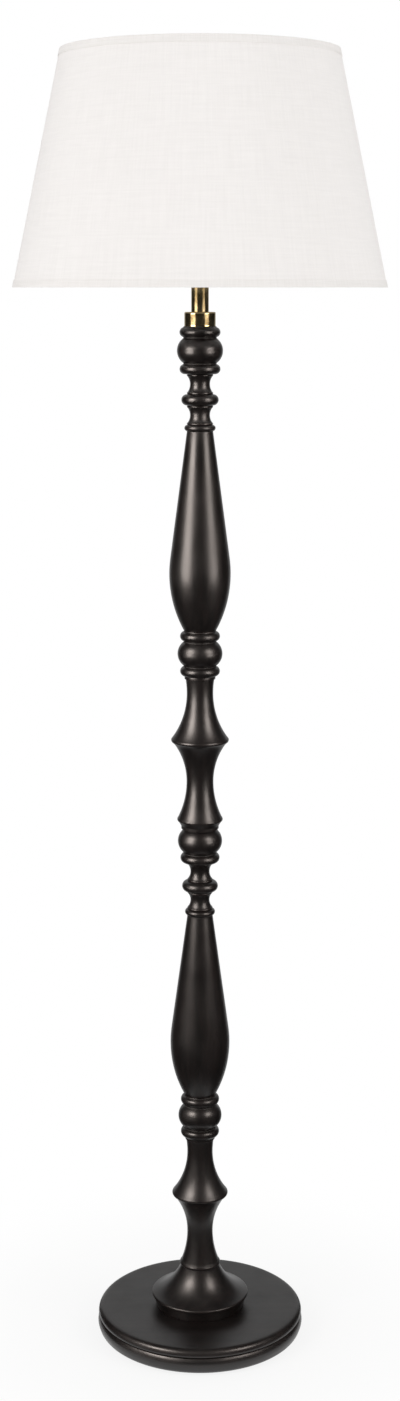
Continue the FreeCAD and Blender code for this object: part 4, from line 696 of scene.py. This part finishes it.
def swept(path, radius, sides=20):
    """A round wire along a path in the plane Y = 0, with rounded ends.

    Point (t, angle) = path(t) + radius (cos angle * side(t) + sin angle * across), where across
    is +Y and side is across x tangent. At each end the radius shrinks to nothing over a quarter
    circle."""
    flat = path[:, 0] + 1j * path[:, 1]
    heading = np.unwrap(np.angle(np.gradient(flat)))
    bend = np.gradient(heading) / np.maximum(abs(np.gradient(flat)), 1e-9)
    x, z, _ = spaced(flat, bend, longest=4.0, turn=9.0, loop=False)
    line = np.stack([x, 0 * x, z], -1)
    tangent = np.gradient(line, axis=0)
    tangent /= np.linalg.norm(tangent, axis=1)[:, None]
    lean = np.radians([90, 60, 30, 0])
    line = np.concatenate([line[0] - radius * np.sin(lean)[:, None] * tangent[0], line[1:-1],
                           line[-1] + radius * np.sin(lean[::-1])[:, None] * tangent[-1]])
    tangent = np.concatenate([np.repeat(tangent[:1], 4, 0), tangent[1:-1],
                              np.repeat(tangent[-1:], 4, 0)])
    wide = np.concatenate([np.cos(lean), np.ones(len(line) - 8), np.cos(lean[::-1])]) * radius
    across = np.array((0.0, 1.0, 0.0))
    side = np.cross(across, tangent)
    angle = np.arange(sides) * 2 * np.pi / sides
    ring = np.cos(angle)[None, :, None] * side[:, None] + np.sin(angle)[None, :, None] * across
    return line[:, None] + wide[:, None, None] * ring


bend_middle = complex(HARP_REACH + HARP_BEND, HARP_LEG)
bow_middle = complex(0, WIRE_TOP - HARP_BOW)
between = bow_middle - bend_middle
facing = math.atan2(between.imag, between.real) + math.acos((HARP_BEND + HARP_BOW) / abs(between))
toward = complex(math.cos(facing), math.sin(facing))
bend_end, bow_start = bend_middle + toward * HARP_BEND, bow_middle - toward * HARP_BOW
half_path = outline((HARP_REACH, 0), (HARP_REACH, HARP_LEG),
                    (bend_end.real, bend_end.imag, -HARP_BEND), (bow_start.real, bow_start.imag),
                    (0, WIRE_TOP, HARP_BOW), closed=False)
whole_path = np.concatenate([half_path, half_path[-2::-1] * (-1, 1)]) + (0, harp_foot)
harp = piece(
    "harp_wire", skin(swept(whole_path, HARP_WIRE), False),
    turned(outline((0, -SEAT_UNDER), (SEAT, -SEAT_UNDER), (SEAT, SEAT_TOP), (POST, SEAT_TOP),
                   (POST, post_top), (0, post_top)), corner=0.15, columns=48, longest=0.5,
           at=(0, 0, harp_foot + WIRE_TOP), ripple=post_thread))
dress(harp, "harp", "polished_brass", brass, "harp")

# ------------------------ harp sleeves
# Short brass tubes, one on each leg. They slide down over the saddle's ears and lock the harp
# on its pegs.
SLEEVE_INNER, SLEEVE, SLEEVE_LENGTH = 2.35, 3.25, 18.0
for side, reach in (("left", -HARP_REACH), ("right", HARP_REACH)):
    node = "harp_sleeve_" + side
    lathed("lock_sleeve_" + side, node, side + "_sleeve", "polished_brass", brass,
           tube(SLEEVE_INNER, SLEEVE, SLEEVE_LENGTH), corner=0.12, columns=40, longest=3.0,
           at=(reach, 0, lowest(node)))

# ------------------------ shade
# White linen laminated on a stiff lining, rolled to a cone and lapped at the back. The cloth is
# drawn tight, so it has no folds: only its weave, a few thicker threads and the lap show.
SHADE_BOTTOM, SHADE_TOP, SHADE_HEIGHT, SHADE_WALL = 228.6, 168.0, 280.0, 1.3
SEAM_WIDTH, SEAM_STEP = 11.0, 0.35
THREAD, SLUB = 1.1, 2.6       # threads are 0.5 mm apart in linen; drawn wider, to show
shade_foot = lowest("shade_cover")
ROUND = 2 * math.pi * (SHADE_BOTTOM + SHADE_TOP) / 2


def linen(name, pale, shadow):
    """Plain-woven bleached linen: crossing threads, some of them thick, in relief and tone."""
    material, tree, shader = finish_of(name, Roughness=0.85, Sheen_Weight=0.15,
                                       Sheen_Roughness=0.5)
    cloth = add(tree, "UVMap", uv_map="wrap").outputs["UV"]
    flat = add(tree, "VectorMath", {0: cloth, 1: (ROUND * MM, 1, 1)},
               operation="MULTIPLY").outputs["Vector"]
    slubs = []
    for stretch in ((1, SLUB / 60, 1), (SLUB / 60, 1, 1)):
        drawn = add(tree, "Mapping", {"Vector": flat, "Scale": stretch}).outputs["Vector"]
        slubs.append(add(tree, "TexNoise", {"Vector": drawn, "Scale": 1 / (SLUB * MM),
                                            "Detail": 3.0, "Roughness": 0.7}).outputs["Fac"])
    uneven = add(tree, "Math", {0: slubs[0], 1: slubs[1]}, operation="ADD").outputs[0]
    threads = []
    for direction in ("X", "Y"):
        threads.append(add(tree, "TexWave", {"Vector": flat, "Scale": 0.314 / (THREAD * MM),
                                             "Distortion": 0.6, "Detail": 1.0},
                           bands_direction=direction).outputs["Fac"])
    weave = add(tree, "Math", {0: threads[0], 1: threads[1]}, operation="MULTIPLY").outputs[0]
    height = add(tree, "Math", {0: weave, 1: 0.4, 2: uneven},
                 operation="MULTIPLY_ADD").outputs[0]
    tone = spread(tree, uneven, 0.75, 1.25)
    colour = add(tree, "Mix", {"Factor": tone, "A": linear(shadow), "B": linear(pale)},
                 data_type="RGBA").outputs["Result"]
    tree.links.new(colour, shader.inputs["Base Color"])
    emboss(tree, height, 0.06, 0.2)
    return material


def lap(angle, radius, height):
    """The lapped seam at the back: one step out and one in, SEAM_WIDTH apart."""
    away = (angle - np.pi / 2) * SHADE_BOTTOM
    return SEAM_STEP * (0.5 + 0.5 * np.tanh((SEAM_WIDTH / 2 - abs(away)) / 0.6))


def cone(height):
    """Outer radius of the shade at a height above its lower rim."""
    return SHADE_BOTTOM + (SHADE_TOP - SHADE_BOTTOM) * height / SHADE_HEIGHT


def shade_band(low, high, inner, outer, **more):
    """A band of the cone between two heights, inner and outer mm out from its face."""
    return turned(outline((cone(low) + inner, low), (cone(low) + outer, low),
                          (cone(high) + outer, high), (cone(high) + inner, high)),
                  at=(0, 0, shade_foot), columns=720, **more)


cover = piece("linen_shade", shade_band(0, SHADE_HEIGHT, -SHADE_WALL, 0.0, corner=0.2,
                                        longest=14.0, turn=30.0, ripple=lap))
cloth = linen("bleached_linen_on_styrene", "#f6f3f1", "#f0edeb")
dress(cover, "shade", "shade_linen", cloth, "shade_cover")

# ------------------------ shade hems
# Linen tape glued round both rims, 9 mm deep. It stands a little out from the cover and is a
# little darker.
tape = linen("linen_hem_tape", "#f3f0ee", "#ebe8e5")
HEM, HEM_INNER, HEM_OUTER = 9.0, 0.1, 0.7


def hem_tape(rim, low):
    """The tape round the lower or upper rim, from the height low up."""
    band = shade_band(low, low + HEM, HEM_INNER, HEM_OUTER, corner=0.12, longest=3.0, turn=30.0,
                      ripple=lap)
    return dress(piece("hem_tape_" + rim, band), "shade", "hem_linen", tape, rim + "_hem")


lower_tape, upper_tape = hem_tape("lower", 0), hem_tape("upper", SHADE_HEIGHT - HEM)

# ------------------------ shade's wire frame
# Steel wire rings under both rims, in white enamel. Three arms are welded to the upper one and
# to a washer that sits on the harp.
FRAME_WIRE, RING_INSET, SPIDER_DROP, WASHER, WASHER_THICKNESS = 1.7, 2.6, 14.0, 13.0, 1.8
SPIDER_FLAT, SPIDER_BEND, ARM_COUNT, POST_HOLE = 30.0, 40.0, 3, 3.4
enamel = mottled("white_stove_enamel", 6, 3.0, "#e2e1dd", "#f0efec", rough=(0.2, 0.4), IOR=1.5)


def wire_ring(height):
    """A ring of wire inside the cone at a height: a circle carried round the axis."""
    middle = cone(height) - SHADE_WALL - HEM_INNER - FRAME_WIRE * 1.05
    section = outline((middle, height - FRAME_WIRE), (middle, height + FRAME_WIRE, FRAME_WIRE),
                      (middle, height - FRAME_WIRE, FRAME_WIRE))
    return middle, turned(section, corner=0.02, columns=192, turn=30.0, at=(0, 0, shade_foot))


_, lower_skin = wire_ring(RING_INSET)
low_ring = piece("shade_ring_lower", lower_skin)
dress(low_ring, "shade", "white_wire", enamel, "lower_ring")

ring_height = SHADE_HEIGHT - RING_INSET
ring_middle, upper_skin = wire_ring(ring_height)
washer_foot = SHADE_HEIGHT - SPIDER_DROP
arm_level = washer_foot + WASHER_THICKNESS / 2
curve_middle = complex(SPIDER_FLAT, arm_level + SPIDER_BEND)
away = complex(ring_middle, ring_height) - curve_middle
rise = math.atan2(away.imag, away.real) - math.acos(SPIDER_BEND / abs(away))
curve_end = curve_middle + SPIDER_BEND * complex(math.cos(rise), math.sin(rise))
arm_path = outline((WASHER - 2 * FRAME_WIRE, arm_level), (SPIDER_FLAT, arm_level),
                   (curve_end.real, curve_end.imag, SPIDER_BEND), (ring_middle, ring_height),
                   closed=False) + (0, shade_foot)
arm = swept(arm_path, FRAME_WIRE, sides=16)
arms = []
for number in range(ARM_COUNT):
    turn = math.radians(90 + 360 / ARM_COUNT * number)
    spun = arm.copy()
    spun[..., 0] = arm[..., 0] * math.cos(turn) - arm[..., 1] * math.sin(turn)
    spun[..., 1] = arm[..., 0] * math.sin(turn) + arm[..., 1] * math.cos(turn)
    arms.append(skin(spun, False))
washer = turned(outline(*tube(POST_HOLE, WASHER, WASHER_THICKNESS)), corner=0.2, columns=64,
                at=(0, 0, shade_foot + washer_foot))
spider = piece("shade_spider", upper_skin, *arms, washer)
dress(spider, "shade", "white_wire", enamel, "spider_frame")

# ------------------------ finial
# A turned brass ball on a waisted foot, screwed on the harp's post over the spider's washer.
BALL, FINIAL_WAIST, BALL_FOOT, FINIAL_BORE, FINIAL_DEPTH = 7.8, 4.3, 6.6, 3.18, 12.0
FINIAL_FOOT, FINIAL_FOOT_HEIGHT, WAIST_START = 6.6, 2.2, 4.4
ball_top = BALL_FOOT + math.sqrt(BALL ** 2 - FINIAL_WAIST ** 2) + BALL
brazen("ball_finial", "finial", 0, (0, FINIAL_DEPTH), (FINIAL_BORE, FINIAL_DEPTH),
       (FINIAL_BORE, 0), (FINIAL_FOOT, 0), (FINIAL_FOOT, FINIAL_FOOT_HEIGHT),
       (FINIAL_WAIST, WAIST_START), (FINIAL_WAIST, BALL_FOOT), (0, ball_top, BALL),
       body="finial", columns=64)

# ------------------------ floor, light and camera
# A plain white floor that melts into a white room. Two soft boxes light the lamp from either
# side of the camera, and sheets that only reflections see stand round it: dark ones, a pale
# backdrop and a bright panel at each side, the left one brighter.
REACH = 9
floor_mesh = bpy.data.meshes.new("floor")
floor_mesh.from_pydata([(-REACH, -REACH, 0), (REACH, -REACH, 0), (REACH, REACH, 0),
                        (-REACH, REACH, 0)], [], [(0, 1, 2, 3)])
floor = placed("floor", floor_mesh)


def seen_by(tree):
    """One where the ray comes from the camera, a reflection or through glass, otherwise 0."""
    rays = add(tree, "LightPath").outputs
    seen = add(tree, "Math", {0: rays["Is Camera Ray"], 1: rays["Is Glossy Ray"]},
               operation="MAXIMUM").outputs[0]
    return add(tree, "Math", {0: seen, 1: rays["Is Transmission Ray"]},
               operation="MAXIMUM").outputs[0]


paper, tree, shader = finish_of("white_paper_floor", Roughness=0.9)
shader.inputs["Base Color"].default_value = linear("#f4f4f3")
glow = add(tree, "Emission", {"Color": linear("#ffffff"), "Strength": 1.0}).outputs[0]
place = add(tree, "TexCoord").outputs["Object"]
away = add(tree, "VectorMath", {0: place}, operation="LENGTH").outputs["Value"]
fade = add(tree, "MapRange", {"Value": away, "From Min": 0.12, "From Max": 0.5,
                              "To Min": 0.85, "To Max": 1.0}, interpolation_type="SMOOTHSTEP")
share = add(tree, "Math", {0: fade.outputs[0], 1: seen_by(tree)}, operation="MULTIPLY")
mixed = add(tree, "MixShader", {"Fac": share.outputs[0], 1: shader.outputs[0], 2: glow})
tree.links.new(mixed.outputs[0], tree.nodes["Material Output"].inputs["Surface"])
floor.data.materials.append(paper)

FILL = 0.56
world = bpy.data.worlds.new("white_studio")
bpy.context.scene.world = world
world.use_nodes = True
tree = world.node_tree
tree.nodes.clear()
strength = spread(tree, seen_by(tree), 0.0, 1.0, FILL, 1.0)
backdrop = add(tree, "Background", {"Color": linear("#ffffff"), "Strength": strength})
tree.links.new(backdrop.outputs[0], add(tree, "OutputWorld").inputs["Surface"])


def bend_round(profile, left, right, columns=64):
    """A sheet that stands round the lamp: profile's (distance, height) points in metres, carried
    from the azimuth left to the azimuth right, in degrees from the camera's side."""
    far, up = np.array(profile, float).T
    turn = np.radians(np.linspace(left, right, columns))[None]
    grid = np.stack([far[:, None] * np.sin(turn), -far[:, None] * np.cos(turn),
                     up[:, None] + 0 * turn], -1)
    index = np.arange(grid[..., 0].size).reshape(grid.shape[:2])
    faces = np.stack([index[:-1, :-1], index[:-1, 1:], index[1:, 1:], index[1:, :-1]], -1)
    return grid.reshape(-1, 3).tolist(), faces.reshape(-1, 4).tolist()


def reflected(name, glow, sheet, tint="#ffffff"):
    """A studio sheet that shows only in reflections, with its own even brightness."""
    mesh = bpy.data.meshes.new(name)
    mesh.from_pydata(sheet[0], [], sheet[1])
    obj = placed(name, mesh)
    material = bpy.data.materials.new(name)
    material.use_nodes = True
    tree = material.node_tree
    tree.nodes.clear()
    light = add(tree, "Emission", {"Color": linear(tint), "Strength": glow}).outputs[0]
    add(tree, "OutputMaterial", {"Surface": light})
    mesh.materials.append(material)
    for kind in ("camera", "diffuse", "transmission", "shadow", "volume_scatter"):
        setattr(obj, "visible_" + kind, False)


# The dark sheets keep the room's white out of reflections from the camera's side, from above
# and, with the low screen, from the floor. The panels make the two long lights down the dark
# wood; they are dim at the height of the brass, which would turn white otherwise.
DARK, PALE, ON_FLOOR, WALL, WALL_TOP, SCREEN, SCREEN_TOP = 0.03, 0.62, 0.003, 3.0, 3.6, 1.0, 0.64
walls = [(WALL, ON_FLOOR), (WALL, WALL_TOP)]
reflected("curtain", DARK, bend_round([(0.22, ON_FLOOR), *walls], -140, 140))
reflected("low_screen", DARK, bend_round([(SCREEN, ON_FLOOR), (SCREEN, SCREEN_TOP)], -140, 140))
reflected("ceiling", DARK, bend_round([(WALL, WALL_TOP), (0.01, WALL_TOP)], -180, 180))
reflected("backdrop", PALE, bend_round([(0.4, ON_FLOOR), *walls], 140, 220, 24))
PANEL_AWAY, DIM = 2.5, 0.06
for name, glow, left, right in (("panel_left", 17.0, -70, -37), ("panel_right", 10.5, 38, 66)):
    for low, high, share in ((0.65, 1.18, 1), (1.18, 1.52, DIM), (1.52, 2.9, 1)):
        panel = bend_round([(PANEL_AWAY, low), (PANEL_AWAY, high)], left, right, 12)
        reflected(f"{name}_from_{low}", glow * share, panel, "#fff3eb")

BOX_SIZE, BOX_AWAY, BOX_MIDDLE, BOX_TILT = 1.4, 2.6, 1.9, 16
for name, side, power in (("soft_box_left", -50, 26.0), ("soft_box_right", 60, 24.0)):
    lamp = bpy.data.lights.new(name, "AREA")
    lamp.size, lamp.energy = BOX_SIZE, power
    holder = placed(name, lamp)
    turn = math.radians(side)
    holder.location = (BOX_AWAY * math.sin(turn), -BOX_AWAY * math.cos(turn), BOX_MIDDLE)
    holder.rotation_euler = (math.radians(90 - BOX_TILT), 0, turn)
    holder.visible_camera = holder.visible_glossy = False

# The photograph's own view: level with the shade's lower rim and tilted 11 degrees down.
EYE_AWAY, TILT, LENS = 2.650, 11.0, 54.6
lens = bpy.data.cameras.new("eye")
lens.lens, lens.sensor_width, lens.sensor_fit = LENS, 36.0, "AUTO"
eye = placed("eye", lens)
eye.location = (0, -EYE_AWAY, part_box("shade_cover")[0].z)
eye.rotation_euler = (math.radians(90 - TILT), 0, 0)
bpy.context.scene.camera = eye
bpy.context.scene.view_settings.view_transform = "Standard"
